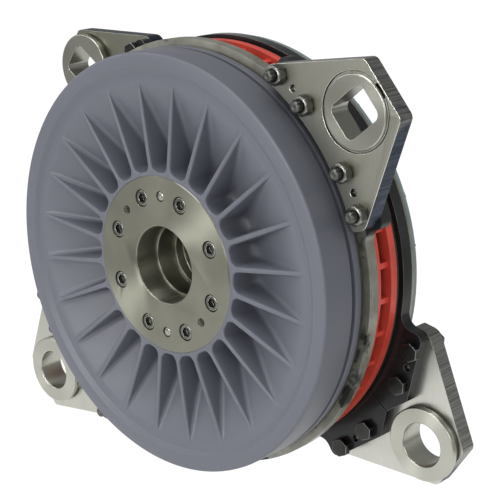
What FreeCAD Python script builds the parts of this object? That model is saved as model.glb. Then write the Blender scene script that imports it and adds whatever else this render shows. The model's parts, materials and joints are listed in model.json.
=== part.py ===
import FreeCAD, Part
import math
import os
import re
import Sketcher
from FreeCAD import Placement, Rotation, Vector

doc = FreeCAD.newDocument("ClutchBrake")
sheet = doc.addObject("Spreadsheet::Sheet", "Sizes")

# Driving dimensions in millimetres and degrees. The shaft axis is Y, the front looks along -Y,
# and Y is 0 on the hub's front face. A word with _at in it is a place along Y.
SIZES = [
    ("dish_radius", 235.0),
    ("rim_width", 17.5),
    ("rim_slope", 5.5),
    ("rim_lead", 4.5),
    ("rim_chamfer", 3.0),
    ("rib_inset", 9.0),
    ("rib_count", 24),
    ("rib_turn", 10.4),
    ("rib_width", 4.6),
    ("rib_draft", 3.0),
    ("rib_root", 2.5),
    ("collar_width", 4.0),
    ("collar_drop", 0.8),
    ("floor_slope", 2.0),
    ("floor_depth", 45.0),
    ("rim_back_at", 36.5),
    ("groove_depth", 13.0),
    ("groove_width", 5.5),
    ("friction_flange", 9.0),
    ("friction_width", 77.0),
    ("boss_stand", 15.0),
    ("flange_radius", 100.0),
    ("flange_thickness", 20.0),
    ("edge_break", 1.0),
    ("pilot_radius", 43.5),
    ("pilot_depth", 30.0),
    ("lip_height", 2.5),
    ("lip_width", 6.0),
    ("relief_step", 1.0),
    ("relief_length", 19.5),
    ("shaft_step", 1.5),
    ("shaft_step_width", 11.0),
    ("shaft_radius", 36.0),
    ("barrel_radius", 65.0),
    ("tail_step", 7.0),
    ("tail_stand", 3.0),
    ("seat_clearance", 0.03),
    ("running_clearance", 0.08),
    ("screw_inset", 22.5),
    ("hub_screw_count", 8),
    ("hub_screw_turn", 25.4),
    ("screw_head_radius", 9.0),
    ("screw_head_height", 12.0),
    ("screw_sink", 0.6),
    ("screw_shank_radius", 6.0),
    ("hub_screw_length", 32.0),
    ("screw_socket_across", 10.0),
    ("screw_socket_depth", 6.0),
    ("counterbore_radius", 9.9),
    ("hub_dowel_radius", 6.0),
    ("hub_dowel_length", 33.0),
    ("jack_hole_radius", 5.1),
    ("pin_inset", 17.0),
    ("pin_count", 8),
    ("pin_radius", 8.0),
    ("pin_seat_depth", 20.0),
    ("pin_bush_radius", 11.0),
    ("spring_pocket_radius", 12.5),
    ("spring_pocket_depth", 14.0),
    ("spring_radius", 9.2),
    ("spring_wire_radius", 1.8),
    ("spring_coils", 4),
    ("air_hole_radius", 2.0),
    ("air_turn", 20.0),
    ("face_clearance", 0.3),
    ("lining_thickness", 4.5),
    ("lining_inset", 2.0),
    ("lining_margin", 1.0),
    ("carrier_thickness", 14.0),
    ("front_carrier_stand", 7.5),
    ("rear_carrier_stand", 5.0),
    ("stroke", 2.0),
    ("plate_thickness", 34.0),
    ("plate_front_rim", 7.0),
    ("plate_back_rim", 11.0),
    ("plate_back_stand", 1.0),
    ("vane_inset", 12.0),
    ("vane_set_back", 3.5),
    ("vane_count", 38),
    ("vane_turn", -2.1),
    ("vane_width", 6.0),
    ("web_recess", 3.0),
    ("web_thickness", 14.4),
    ("chamber_gap", 4.0),
    ("cylinder_inset", 15.0),
    ("piston_thickness", 14.0),
    ("seal_groove_width", 5.4),
    ("seal_groove_depth", 4.9),
    ("seal_clearance", 0.1),
    ("rear_boss_inset", 14.0),
    ("rear_boss_stand", 8.0),
    ("rear_rim_stand", 2.0),
    ("rear_rim_thickness", 4.5),
    ("rear_web_inset", 19.0),
    ("rear_web_thickness", 12.0),
    ("wear_ring_thickness", 3.8),
    ("rear_screw_count", 27),
    ("rear_screw_turn", -3.5),
    ("rear_screw_inset", 9.0),
    ("rear_screw_radius", 3.0),
    ("rear_screw_across", 10.0),
    ("rear_screw_head", 5.5),
    ("lock_nut_wall", 24.0),
    ("lock_nut_thickness", 13.0),
    ("lock_nut_slots", 4),
    ("slot_width", 12.0),
    ("slot_depth", 6.0),
    ("key_width", 14.0),
    ("key_depth", 5.0),
    ("key_height", 10.0),
    ("key_gap", 2.0),
    ("split_gap", 1.0),
    ("ear_root", 6.0),
    ("ear_margin", 7.6),
    ("ear_tilt", 20.5),
    ("ear_end", 22.8),
    ("ear_notch_margin", 3.0),
    ("ear_notch_width", 30.0),
    ("ear_fillet", 15.0),
    ("ear_round", 9.0),
    ("front_lug_turn", 40.7),
    ("front_bush_reach", 45.0),
    ("front_side_angle", 31.0),
    ("front_side_reach", 51.4),
    ("front_tip_reach", 42.2),
    ("front_end_turn", 22.0),
    ("rear_lug_turn", -32.5),
    ("rear_bush_reach", 54.0),
    ("rear_side_angle", 34.9),
    ("rear_side_reach", 45.5),
    ("rear_tip_reach", 38.5),
    ("rear_end_turn", 22.3),
    ("lug_thickness", 20.0),
    ("lug_gap", 10.5),
    ("lug_tip_round", 8.0),
    ("lug_end_round", 14.0),
    ("lug_root_round", 5.0),
    ("bolt_inset", 16.5),
    ("bolt_near", 8.6),
    ("bolt_far", 18.3),
    ("dowel_turn", 13.5),
    ("bolt_radius", 6.0),
    ("bolt_hole_radius", 6.6),
    ("nut_across", 19.0),
    ("nut_height", 10.8),
    ("bolt_head_height", 7.5),
    ("stud_stand", 8.0),
    ("bolt_stand", 4.0),
    ("lug_dowel_radius", 4.0),
    ("lug_dowel_sink", 4.0),
    ("bush_radius", 36.0),
    ("bush_head_radius", 38.0),
    ("bush_collar_radius", 41.5),
    ("bush_bore_radius", 24.0),
    ("bush_chamfer", 1.2),
    ("bush_stand", 9.0),
    ("bush_collar_length", 6.0),
    ("bush_tail", 3.6),
    ("clip_thickness", 1.8),
    ("clip_play", 0.1),
    ("clip_depth", 1.6),
    ("clip_height", 5.4),
    ("clip_gap", 16.0),
    ("slot_bush_length", 48.0),
    ("slot_bush_width", 40.0),
    ("slot_bush_round", 8.0),
    ("flush_stand", 1.6),
    ("flush_head_length", 2.0),
    ("flush_sink_radius", 41.0),
    ("flush_sink_depth", 3.0),
]

# Sizes and places that follow from the ones above
WORKED_OUT = [
    ("rim_inner_radius", "dish_radius - rim_width"),
    ("rim_foot_radius", "rim_inner_radius - rim_slope"),
    ("rib_outer_radius", "rim_foot_radius - rib_inset"),
    ("collar_radius", "flange_radius + collar_width"),
    ("floor_radius", "collar_radius + floor_slope"),
    ("groove_radius", "dish_radius - groove_depth"),
    ("friction_inner_radius", "dish_radius - friction_width"),
    ("dish_back_at", "rim_back_at + groove_width + friction_flange"),
    ("boss_back_at", "dish_back_at + boss_stand"),
    ("lip_radius", "pilot_radius - lip_height"),
    ("relief_radius", "pilot_radius - relief_step"),
    ("relief_end_at", "pilot_depth + lip_width + relief_length"),
    ("shaft_step_radius", "shaft_radius + shaft_step"),
    ("tail_radius", "barrel_radius - tail_step"),
    ("hub_screw_circle", "flange_radius - screw_inset"),
    ("screw_pitch", "360 / hub_screw_count"),
    ("pin_circle", "friction_inner_radius - pin_inset"),
    ("cylinder_radius", "pin_circle - cylinder_inset"),
    ("lining_inner_radius", "friction_inner_radius + lining_inset"),
    ("lining_outer_radius", "dish_radius - lining_margin"),
    ("front_carrier_radius", "dish_radius + front_carrier_stand"),
    ("rear_carrier_radius", "dish_radius + rear_carrier_stand"),
    ("plate_back_radius", "dish_radius + plate_back_stand"),
    ("vane_root_radius", "friction_inner_radius + vane_inset"),
    ("vane_tip_radius", "dish_radius - vane_set_back"),
    ("rear_boss_radius", "cylinder_radius - rear_boss_inset"),
    ("rear_rim_radius", "dish_radius + rear_rim_stand"),
    ("rear_web_radius", "rear_rim_radius - rear_web_inset"),
    ("rear_screw_circle", "rear_rim_radius - rear_screw_inset"),
    ("lock_nut_radius", "tail_radius + lock_nut_wall"),
    ("front_lining_at", "dish_back_at + face_clearance"),
    ("front_carrier_at", "front_lining_at + lining_thickness"),
    ("front_back_lining_at", "front_carrier_at + carrier_thickness"),
    ("plate_at", "front_back_lining_at + lining_thickness + stroke + face_clearance"),
    ("plate_back_at", "plate_at + plate_thickness"),
    ("rear_lining_at", "plate_back_at + face_clearance"),
    ("rear_carrier_at", "rear_lining_at + lining_thickness"),
    ("rear_back_lining_at", "rear_carrier_at + carrier_thickness"),
    ("wear_at", "rear_back_lining_at + lining_thickness + face_clearance"),
    ("rear_rim_at", "wear_at + wear_ring_thickness"),
    ("web_back_at", "plate_at + web_recess + web_thickness"),
    ("shoulder_at", "web_back_at + chamber_gap"),
    ("rear_boss_at", "shoulder_at + piston_thickness"),
    ("rear_boss_back_at", "rear_rim_at + rear_web_thickness + rear_boss_stand"),
    ("hub_back_at", "rear_boss_back_at + lock_nut_thickness + tail_stand"),
    ("piston_groove_at", "shoulder_at + piston_thickness / 2 - seal_groove_width / 2"),
    ("key_at", "rear_boss_at + key_gap"),
    ("key_back_at", "rear_boss_back_at - 2 * key_gap"),
    ("front_plate_at", "front_carrier_at - lug_thickness"),
    ("rear_plate_at", "rear_carrier_at + carrier_thickness"),
    ("lug_inner_radius", "dish_radius + lug_gap"),
    ("bolt_circle", "lug_inner_radius + bolt_inset"),
    ("front_lug_circle", "bolt_circle + front_bush_reach"),
    ("rear_lug_circle", "bolt_circle + rear_bush_reach"),
    ("ear_edge", "bolt_circle + ear_margin"),
    ("ear_corner_radius", "ear_edge / cos((ear_end - ear_tilt) * 1 deg)"),
    ("ear_notch_out", "(ear_edge - ear_notch_width * sin(ear_tilt * 1 deg)) / cos(ear_tilt * 1 deg)"),
    ("clip_groove_radius", "bush_radius - clip_depth"),
    ("stud_length", "carrier_thickness + lug_thickness + nut_height + stud_stand"),
    ("pin_at", "boss_back_at - pin_seat_depth"),
    ("spring_end_at", "plate_at + web_recess + spring_pocket_depth"),
]
for row, (alias, value) in enumerate(SIZES, start=1):
    sheet.set("A%d" % row, alias)
    sheet.set("B%d" % row, str(value))
    sheet.setAlias("B%d" % row, alias)
for row, (alias, formula) in enumerate(WORKED_OUT, start=1):
    sheet.set("D%d" % row, alias)
    sheet.set("E%d" % row, "=" + formula)
    sheet.setAlias("E%d" % row, alias)
doc.recompute()

FUNCTIONS = ("sin", "cos", "tan", "deg")


def size(alias):
    """The number in the sheet's cell of that name."""
    return float(sheet.get(alias))


def bound(text):
    """Expression text in which each size's name points at the sheet."""
    def point(match):
        word = match.group(0)
        return word if word in FUNCTIONS else "Sizes." + word
    return re.sub(r"[a-z][a-z_]*", point, str(text))


def origin_part(body, role):
    """The plane or axis of a body's origin that has this role."""
    return next(item for item in body.Origin.OriginFeatures if item.Role == role)


def new_body(name):
    """An empty body whose label names its file."""
    body = doc.addObject("PartDesign::Body", name)
    body.Label = name
    return body


def outline(body, name, plane, points, circles=()):
    """A sketch on an origin plane: one closed outline and circles, every place bound to the sheet."""
    sketch = body.newObject("Sketcher::SketchObject", name)
    sketch.AttachmentSupport = [(origin_part(body, plane), "")]
    sketch.MapMode = "FlatFace"
    count = len(points)
    start = [Vector(10 * math.cos(6.28 * k / max(count, 1)), 10 * math.sin(6.28 * k / max(count, 1)), 0)
             for k in range(count)]
    for k in range(count):
        sketch.addGeometry(Part.LineSegment(start[k], start[(k + 1) % count]), False)
    for k in range(count):
        sketch.addConstraint(Sketcher.Constraint("Coincident", k, 2, (k + 1) % count, 1))
    for k, (across, along) in enumerate(points):
        place(sketch, k, 1, across, along)
    for radius, across, along in circles:
        index = sketch.addGeometry(Part.Circle(Vector(1, 1, 0), Vector(0, 0, 1), 1.0), False)
        place(sketch, index, 3, across, along)
        number = sketch.addConstraint(Sketcher.Constraint("Radius", index, 1.0))
        sketch.setExpression("Constraints[%d]" % number, bound(radius))
    return sketch


def place(sketch, index, vertex, across, along):
    """Two distances from the sketch's origin that hold one point."""
    for kind, text in (("DistanceX", across), ("DistanceY", along)):
        number = sketch.addConstraint(Sketcher.Constraint(kind, -1, 1, index, vertex, 1.0))
        sketch.setExpression("Constraints[%d]" % number, bound(text))


def revolve(body, name, sketch, kind="PartDesign::Revolution", angle="360"):
    """Turn an outline about the shaft axis."""
    feature = body.newObject(kind, name)
    feature.Profile = sketch
    feature.ReferenceAxis = (sketch, ["V_Axis"])
    feature.setExpression("Angle", bound(angle))
    feature.Reversed = True
    body.Tip = feature
    return feature


def pad(body, name, sketch, length, midplane=False, reversed_way=False, kind="PartDesign::Pad"):
    """Push an outline through a length, or cut it away."""
    feature = body.newObject(kind, name)
    feature.Profile = sketch
    feature.Midplane = midplane
    feature.Reversed = reversed_way
    feature.setExpression("Length", bound(length))
    body.Tip = feature
    return feature


def pattern(body, name, originals, count):
    """Repeat features evenly about the shaft axis."""
    feature = body.newObject("PartDesign::PolarPattern", name)
    feature.Originals = originals
    feature.Axis = (origin_part(body, "Y_Axis"), [""])
    feature.Angle = 360
    feature.setExpression("Occurrences", bound(count))
    body.Tip = feature
    return feature


def holes(body, name, centres, front, depth):
    """Round holes along the shaft axis from the plane front, each (radius, x, z), through a depth."""
    sketch = outline(body, name + "_outline", "XZ_Plane", [], centres)
    sketch.AttachmentOffset = Placement(Vector(0, 0, 0), Rotation())
    sketch.setExpression(".AttachmentOffset.Base.z", bound("-(%s)" % front))
    return pad(body, name, sketch, depth, kind="PartDesign::Pocket")


def turned(circle, angle):
    """Expression texts of a point on a circle at an angle."""
    return "%s * cos((%s) * 1 deg)" % (circle, angle), "%s * sin((%s) * 1 deg)" % (circle, angle)


def turn_body(body, turn, out="0", along="0"):
    """Turn a body about the shaft axis from +X towards +Z, after moving it out along X and along Y."""
    body.setExpression(".Placement.Rotation.Axis.y", "1")
    body.setExpression(".Placement.Rotation.Axis.z", "0")
    body.setExpression(".Placement.Rotation.Angle", bound("-(%s) * 1 deg" % turn))
    across, up = turned("(%s)" % out, turn)
    body.setExpression(".Placement.Base.x", bound(across))
    body.setExpression(".Placement.Base.y", bound(along))
    body.setExpression(".Placement.Base.z", bound(up))


def upright_edges(feature, places):
    """Names of a feature's straight edges along Y that stand at the given (x, z) places."""
    names = []
    for number, edge in enumerate(feature.Shape.Edges, start=1):
        first, last = edge.Vertexes[0].Point, edge.Vertexes[-1].Point
        if abs(first.x - last.x) > 0.01 or abs(first.z - last.z) > 0.01:
            continue
        if any(math.hypot(first.x - x, first.z - z) < 0.6 for x, z in places):
            names.append("Edge%d" % number)
    return names


def round_edges(body, name, places, radius, kind="PartDesign::Fillet"):
    """Round or bevel the edges along Y that stand at the given places."""
    doc.recompute()
    base = body.Tip
    feature = body.newObject(kind, name)
    feature.Base = (base, upright_edges(base, places))
    feature.setExpression("Radius" if kind.endswith("Fillet") else "Size", bound(radius))
    body.Tip = feature
    return feature


def corner_of(sketch, number):
    """The place (x, z) of a sketch's numbered corner."""
    point = sketch.Geometry[number].StartPoint
    return point.x, point.y


def polar(radius, angle):
    """A point (x, z) at a radius and an angle in degrees."""
    return radius * math.cos(math.radians(angle)), radius * math.sin(math.radians(angle))


def part_group(name, shapes):
    """Like solids that share one node."""
    group = doc.addObject("Part::Feature", name)
    group.Label = name
    group.Shape = Part.makeCompound(shapes)
    return group


def at_angle(shape, angle):
    """A copy of a shape turned about the shaft axis from +X towards +Z."""
    copy = shape.copy()
    copy.rotate(Vector(0, 0, 0), Vector(0, 1, 0), -angle)
    return copy


# Hub: turned steel, with the bare front flange that the photograph shows and a barrel for the piston
hub = new_body("hub")
hub_outline = outline(hub, "hub_outline", "XY_Plane", [
    ("pilot_radius + edge_break", "0"),
    ("flange_radius - edge_break", "0"),
    ("flange_radius", "edge_break"),
    ("flange_radius", "flange_thickness"),
    ("barrel_radius", "flange_thickness"),
    ("barrel_radius", "shoulder_at"),
    ("tail_radius", "shoulder_at"),
    ("tail_radius", "hub_back_at - 2 * edge_break"),
    ("tail_radius - 2 * edge_break", "hub_back_at"),
    ("shaft_radius + edge_break", "hub_back_at"),
    ("shaft_radius", "hub_back_at - edge_break"),
    ("shaft_radius", "relief_end_at + shaft_step_width + edge_break"),
    ("shaft_step_radius", "relief_end_at + shaft_step_width"),
    ("shaft_step_radius", "relief_end_at + edge_break"),
    ("shaft_step_radius + edge_break", "relief_end_at"),
    ("relief_radius", "relief_end_at"),
    ("relief_radius", "pilot_depth + lip_width + edge_break"),
    ("lip_radius", "pilot_depth + lip_width"),
    ("lip_radius", "pilot_depth + edge_break"),
    ("lip_radius + edge_break", "pilot_depth"),
    ("pilot_radius", "pilot_depth"),
    ("pilot_radius", "edge_break"),
])
revolve(hub, "hub_turned", hub_outline)
first_screw = turned("hub_screw_circle", "hub_screw_turn")
sink = holes(hub, "hub_counterbore", [("counterbore_radius",) + first_screw], "0",
             "screw_head_height + screw_sink")
through = holes(hub, "hub_screw_hole", [("screw_shank_radius + 0.5",) + first_screw], "0", "flange_thickness")
pattern(hub, "hub_screw_ring", [sink, through], "hub_screw_count")
DOWEL_TURNS = ("1.5 * screw_pitch", "1.5 * screw_pitch + 180")
JACK_TURNS = ("2.5 * screw_pitch", "2.5 * screw_pitch + 180")
dowel_places = [("hub_dowel_radius",) + turned("hub_screw_circle", "hub_screw_turn + " + turn)
                for turn in DOWEL_TURNS]
holes(hub, "hub_dowel_holes", dowel_places, "0", "flange_thickness")
jack_places = [("jack_hole_radius",) + turned("hub_screw_circle", "hub_screw_turn + " + turn)
               for turn in JACK_TURNS]
holes(hub, "hub_jack_holes", jack_places, "0", "flange_thickness")
key_outline = outline(hub, "hub_keyway_outline", "XY_Plane", [
    ("tail_radius - key_depth", "key_at"),
    ("tail_radius + key_depth", "key_at"),
    ("tail_radius + key_depth", "key_back_at"),
    ("tail_radius - key_depth", "key_back_at"),
])
keyway = pad(hub, "hub_keyway", key_outline, "key_width", midplane=True, kind="PartDesign::Pocket")
pattern(hub, "hub_keyways", [keyway], "2")
air_place = ("air_hole_radius", "shoulder_at - 0.75 * chamber_gap", "0")
air_outline = outline(hub, "air_hole_outline", "YZ_Plane", [], [air_place])
air_outline.setExpression(".AttachmentOffset.Rotation.Axis.x", "1")
air_outline.setExpression(".AttachmentOffset.Rotation.Axis.z", "0")
air_outline.setExpression(".AttachmentOffset.Rotation.Angle", bound("air_turn * 1 deg"))
pad(hub, "air_drilling", air_outline, "2 * barrel_radius + 2", midplane=True, kind="PartDesign::Pocket")

# Front dish: one iron casting, a thick rim and a cone with tapered ribs, whose back face is the clutch face
dish = new_body("front_dish")
dish_outline = outline(dish, "dish_outline", "XY_Plane", [
    ("barrel_radius + seat_clearance", "flange_thickness"),
    ("flange_radius + seat_clearance", "flange_thickness"),
    ("flange_radius + seat_clearance", "collar_drop"),
    ("collar_radius", "collar_drop"),
    ("floor_radius", "floor_depth"),
    ("rib_outer_radius", "0"),
    ("rim_foot_radius", "0"),
    ("rim_inner_radius", "-rim_lead"),
    ("dish_radius - rim_chamfer", "-rim_lead"),
    ("dish_radius", "rim_chamfer - rim_lead"),
    ("dish_radius", "rim_back_at"),
    ("groove_radius", "rim_back_at"),
    ("groove_radius", "rim_back_at + groove_width"),
    ("dish_radius", "rim_back_at + groove_width"),
    ("dish_radius", "dish_back_at"),
    ("friction_inner_radius", "dish_back_at"),
    ("friction_inner_radius - 2", "boss_back_at"),
    ("barrel_radius + seat_clearance", "boss_back_at"),
])
revolve(dish, "dish_cast", dish_outline)
rib_sketch = outline(dish, "rib_outline", "XZ_Plane", [
    ("flange_radius + rib_root", "-rib_width / 2"),
    ("rib_outer_radius", "-rib_width / 3"),
    ("rib_outer_radius", "rib_width / 3"),
    ("flange_radius + rib_root", "rib_width / 2"),
])
rib = pad(dish, "rib", rib_sketch, "floor_depth + 1", reversed_way=True)
rib.setExpression("TaperAngle", bound("rib_draft"))
pattern(dish, "ribs", [rib], "rib_count")
first_tapped = turned("hub_screw_circle", "hub_screw_turn - rib_turn")
tapped = holes(dish, "dish_screw_hole", [("screw_shank_radius + seat_clearance",) + first_tapped],
               "flange_thickness", "hub_screw_length - flange_thickness + screw_head_height + 4")
pattern(dish, "dish_screw_holes", [tapped], "hub_screw_count")
pinned = [("hub_dowel_radius",) + turned("hub_screw_circle", "hub_screw_turn - rib_turn + " + turn)
          for turn in DOWEL_TURNS]
holes(dish, "dish_dowel_holes", pinned, "flange_thickness", "hub_dowel_length - flange_thickness + 1")
pin_seat = holes(dish, "pin_seat", [("pin_radius + seat_clearance",) + turned("pin_circle", "-rib_turn")],
                 "pin_at", "pin_seat_depth + 1")
spring_turn = "180 / pin_count - rib_turn"
spring_seat = holes(dish, "spring_seat", [("spring_pocket_radius",) + turned("pin_circle", spring_turn)],
                    "pin_at", "pin_seat_depth + 1")
pattern(dish, "pin_and_spring_seats", [pin_seat, spring_seat], "pin_count")
turn_body(dish, "rib_turn")

# Pressure plate: the red ventilated disc, with the air cylinder in its back
plate = new_body("pressure_plate")
bore = "barrel_radius + running_clearance"
plate_outline = outline(plate, "pressure_plate_outline", "XY_Plane", [
    (bore, "plate_at + web_recess"),
    ("friction_inner_radius", "plate_at + web_recess"),
    ("friction_inner_radius", "plate_at"),
    ("dish_radius - edge_break", "plate_at"),
    ("dish_radius", "plate_at + edge_break"),
    ("dish_radius", "plate_at + plate_front_rim"),
    ("vane_root_radius", "plate_at + plate_front_rim"),
    ("vane_root_radius", "plate_back_at - plate_back_rim"),
    ("plate_back_radius", "plate_back_at - plate_back_rim"),
    ("plate_back_radius", "plate_back_at - edge_break"),
    ("plate_back_radius - edge_break", "plate_back_at"),
    ("cylinder_radius + running_clearance", "plate_back_at"),
    ("cylinder_radius + running_clearance", "web_back_at"),
    (bore, "web_back_at"),
    (bore, "web_back_at - seal_groove_width"),
    ("%s + seal_groove_depth" % bore, "web_back_at - seal_groove_width"),
    ("%s + seal_groove_depth" % bore, "web_back_at - 2 * seal_groove_width"),
    (bore, "web_back_at - 2 * seal_groove_width"),
])
revolve(plate, "pressure_plate_cast", plate_outline)
vane_outline = outline(plate, "vane_outline", "XY_Plane", [
    ("vane_root_radius - 2", "plate_at + plate_front_rim - 1"),
    ("vane_tip_radius", "plate_at + plate_front_rim - 1"),
    ("vane_tip_radius", "plate_back_at - plate_back_rim + 1"),
    ("vane_root_radius - 2", "plate_back_at - plate_back_rim + 1"),
])
vane_outline.setExpression(".AttachmentOffset.Rotation.Axis.y", "1")
vane_outline.setExpression(".AttachmentOffset.Rotation.Axis.z", "0")
vane_outline.setExpression(".AttachmentOffset.Rotation.Angle", bound("-(vane_turn) * 1 deg"))
vane = pad(plate, "vane", vane_outline, "vane_width", midplane=True)
pattern(plate, "vanes", [vane], "vane_count")
bush_seat = holes(plate, "bush_seat", [("pin_bush_radius + seat_clearance",) + turned("pin_circle", "0")],
                  "plate_at", "plate_thickness + 1")
spring_place = ("spring_pocket_radius",) + turned("pin_circle", "180 / pin_count")
spring_hole = holes(plate, "spring_hole", [spring_place],
                    "plate_at", "web_recess + spring_pocket_depth")
pattern(plate, "bush_and_spring_holes", [bush_seat, spring_hole], "pin_count")


# Rear end of the hub: piston, rear plate with its wear ring, keys and lock nut
piston = new_body("fixed_piston")
seat = "tail_radius + seat_clearance"
revolve(piston, "piston_turned", outline(piston, "piston_outline", "XY_Plane", [
    (seat, "shoulder_at"),
    ("cylinder_radius - edge_break", "shoulder_at"),
    ("cylinder_radius", "shoulder_at + edge_break"),
    ("cylinder_radius", "piston_groove_at"),
    ("cylinder_radius - seal_groove_depth", "piston_groove_at"),
    ("cylinder_radius - seal_groove_depth", "piston_groove_at + seal_groove_width"),
    ("cylinder_radius", "piston_groove_at + seal_groove_width"),
    ("cylinder_radius", "rear_boss_at"),
    (seat, "rear_boss_at"),
]))

rear_plate = new_body("rear_plate")
rear_outline = outline(rear_plate, "rear_plate_outline", "XY_Plane", [
    (seat, "rear_boss_at"),
    ("rear_boss_radius", "rear_boss_at"),
    ("rear_boss_radius", "rear_rim_at"),
    ("rear_rim_radius", "rear_rim_at"),
    ("rear_rim_radius", "rear_rim_at + rear_rim_thickness"),
    ("rear_web_radius", "rear_rim_at + rear_rim_thickness"),
    ("rear_web_radius - rear_web_thickness / 2", "rear_rim_at + rear_web_thickness"),
    ("rear_boss_radius", "rear_rim_at + rear_web_thickness"),
    ("lock_nut_radius + rear_boss_stand", "rear_boss_back_at"),
    (seat, "rear_boss_back_at"),
])
revolve(rear_plate, "rear_plate_turned", rear_outline)
slot_outline = outline(rear_plate, "rear_keyway_outline", "XY_Plane", [
    ("tail_radius - 3", "rear_boss_at - 1"),
    ("tail_radius + key_height - key_depth + seat_clearance", "rear_boss_at - 1"),
    ("tail_radius + key_height - key_depth + seat_clearance", "rear_boss_back_at + 1"),
    ("tail_radius - 3", "rear_boss_back_at + 1"),
])
rear_slot = pad(rear_plate, "rear_keyway", slot_outline, "key_width", midplane=True,
                kind="PartDesign::Pocket")
pattern(rear_plate, "rear_keyways", [rear_slot], "2")
pin_hole = holes(rear_plate, "pin_hole", [("pin_radius + seat_clearance",) + turned("pin_circle", "0")],
                 "rear_rim_at", "rear_web_thickness + 1")
pattern(rear_plate, "pin_holes", [pin_hole], "pin_count")
rim_place = turned("rear_screw_circle", "rear_screw_turn")
rim_hole = holes(rear_plate, "rim_hole", [("rear_screw_radius + 0.2",) + rim_place],
                 "rear_rim_at", "rear_rim_thickness + 1")
pattern(rear_plate, "rim_holes", [rim_hole], "rear_screw_count")

wear_ring = new_body("rear_wear_ring")
revolve(wear_ring, "wear_ring_turned", outline(wear_ring, "wear_ring_outline", "XY_Plane", [
    ("friction_inner_radius", "wear_at"),
    ("rear_rim_radius", "wear_at"),
    ("rear_rim_radius", "rear_rim_at"),
    ("friction_inner_radius", "rear_rim_at"),
]))
wear_hole = holes(wear_ring, "wear_hole", [("rear_screw_radius",) + rim_place],
                  "rear_rim_at - 2.5", "3")
pattern(wear_ring, "wear_holes", [wear_hole], "rear_screw_count")

lock_nut = new_body("lock_nut")
revolve(lock_nut, "lock_nut_turned", outline(lock_nut, "lock_nut_outline", "XY_Plane", [
    (seat, "rear_boss_back_at"),
    ("lock_nut_radius", "rear_boss_back_at"),
    ("lock_nut_radius", "rear_boss_back_at + lock_nut_thickness - edge_break"),
    ("lock_nut_radius - edge_break", "rear_boss_back_at + lock_nut_thickness"),
    (seat, "rear_boss_back_at + lock_nut_thickness"),
]))
nut_slot_outline = outline(lock_nut, "nut_slot_outline", "XY_Plane", [
    ("lock_nut_radius - slot_depth", "rear_boss_back_at - 1"),
    ("lock_nut_radius + 2", "rear_boss_back_at - 1"),
    ("lock_nut_radius + 2", "rear_boss_back_at + lock_nut_thickness + 1"),
    ("lock_nut_radius - slot_depth", "rear_boss_back_at + lock_nut_thickness + 1"),
])
nut_slot = pad(lock_nut, "nut_slot", nut_slot_outline, "slot_width", midplane=True, kind="PartDesign::Pocket")
pattern(lock_nut, "nut_slots", [nut_slot], "lock_nut_slots")

# Friction rings: each is two bare steel halves with black ears that meet at the lugs


def ring_half(name, turn, ring_radius, carrier_at, hole_radius):
    """Half of a lining carrier from its lug to the opposite one, an ear at each end with its holes."""
    half = new_body(name)
    back = "%s + carrier_thickness" % carrier_at
    revolve(half, name + "_ring", outline(half, name + "_outline", "XY_Plane", [
        ("lining_inner_radius", carrier_at),
        (ring_radius, carrier_at),
        (ring_radius, back),
        ("lining_inner_radius", back),
    ]), angle="180")
    ear_outline = outline(half, name + "_ear_outline", "XZ_Plane", [
        ("%s - ear_root" % ring_radius, "0"),
        ("bolt_circle + ear_notch_margin", "0"),
        ("ear_notch_out", "ear_notch_width"),
        turned("ear_corner_radius", "ear_end"),
        turned("(%s - ear_root)" % ring_radius, "ear_end"),
    ])
    ear_outline.setExpression(".AttachmentOffset.Base.z", bound("-(%s)" % carrier_at))
    ear = pad(half, name + "_ear", ear_outline, "carrier_thickness", reversed_way=True)
    centres = [(hole_radius,) + turned("bolt_circle", angle) for angle in ("bolt_near", "bolt_far")]
    centres.append(("lug_dowel_radius",) + turned("bolt_circle", "dowel_turn"))
    drilled = holes(half, name + "_holes", centres, carrier_at, "carrier_thickness + 1")
    mirrored = half.newObject("PartDesign::Mirrored", name + "_other_ear")
    mirrored.Originals = [ear, drilled]
    mirrored.MirrorPlane = (origin_part(half, "YZ_Plane"), [""])
    half.Tip = mirrored
    split = outline(half, name + "_split_outline", "XY_Plane", [
        ("-ear_corner_radius - ear_root", "%s - 1" % carrier_at),
        ("ear_corner_radius + ear_root", "%s - 1" % carrier_at),
        ("ear_corner_radius + ear_root", "%s + 1" % back),
        ("-ear_corner_radius - ear_root", "%s + 1" % back),
    ])
    pad(half, name + "_split", split, "split_gap / 2", reversed_way=True, kind="PartDesign::Pocket")
    ear_end = size("ear_end")
    foot = [polar(size(ring_radius), angle) for angle in (ear_end, 180 - ear_end)]
    round_edges(half, name + "_feet", foot, "ear_fillet")
    corner = [polar(size("ear_corner_radius"), angle) for angle in (ear_end, 180 - ear_end)]
    round_edges(half, name + "_corners", corner, "ear_round")
    turn_body(half, turn)
    return half


def lining_half(name, turn, lining_at):
    """Half of a flat friction lining that is bonded to its carrier."""
    lining = new_body(name)
    revolve(lining, name + "_ring", outline(lining, name + "_outline", "XY_Plane", [
        ("lining_inner_radius", lining_at),
        ("lining_outer_radius", lining_at),
        ("lining_outer_radius", "%s + lining_thickness" % lining_at),
        ("lining_inner_radius", "%s + lining_thickness" % lining_at),
    ]), angle="180")
    turn_body(lining, turn)
    return lining


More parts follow.
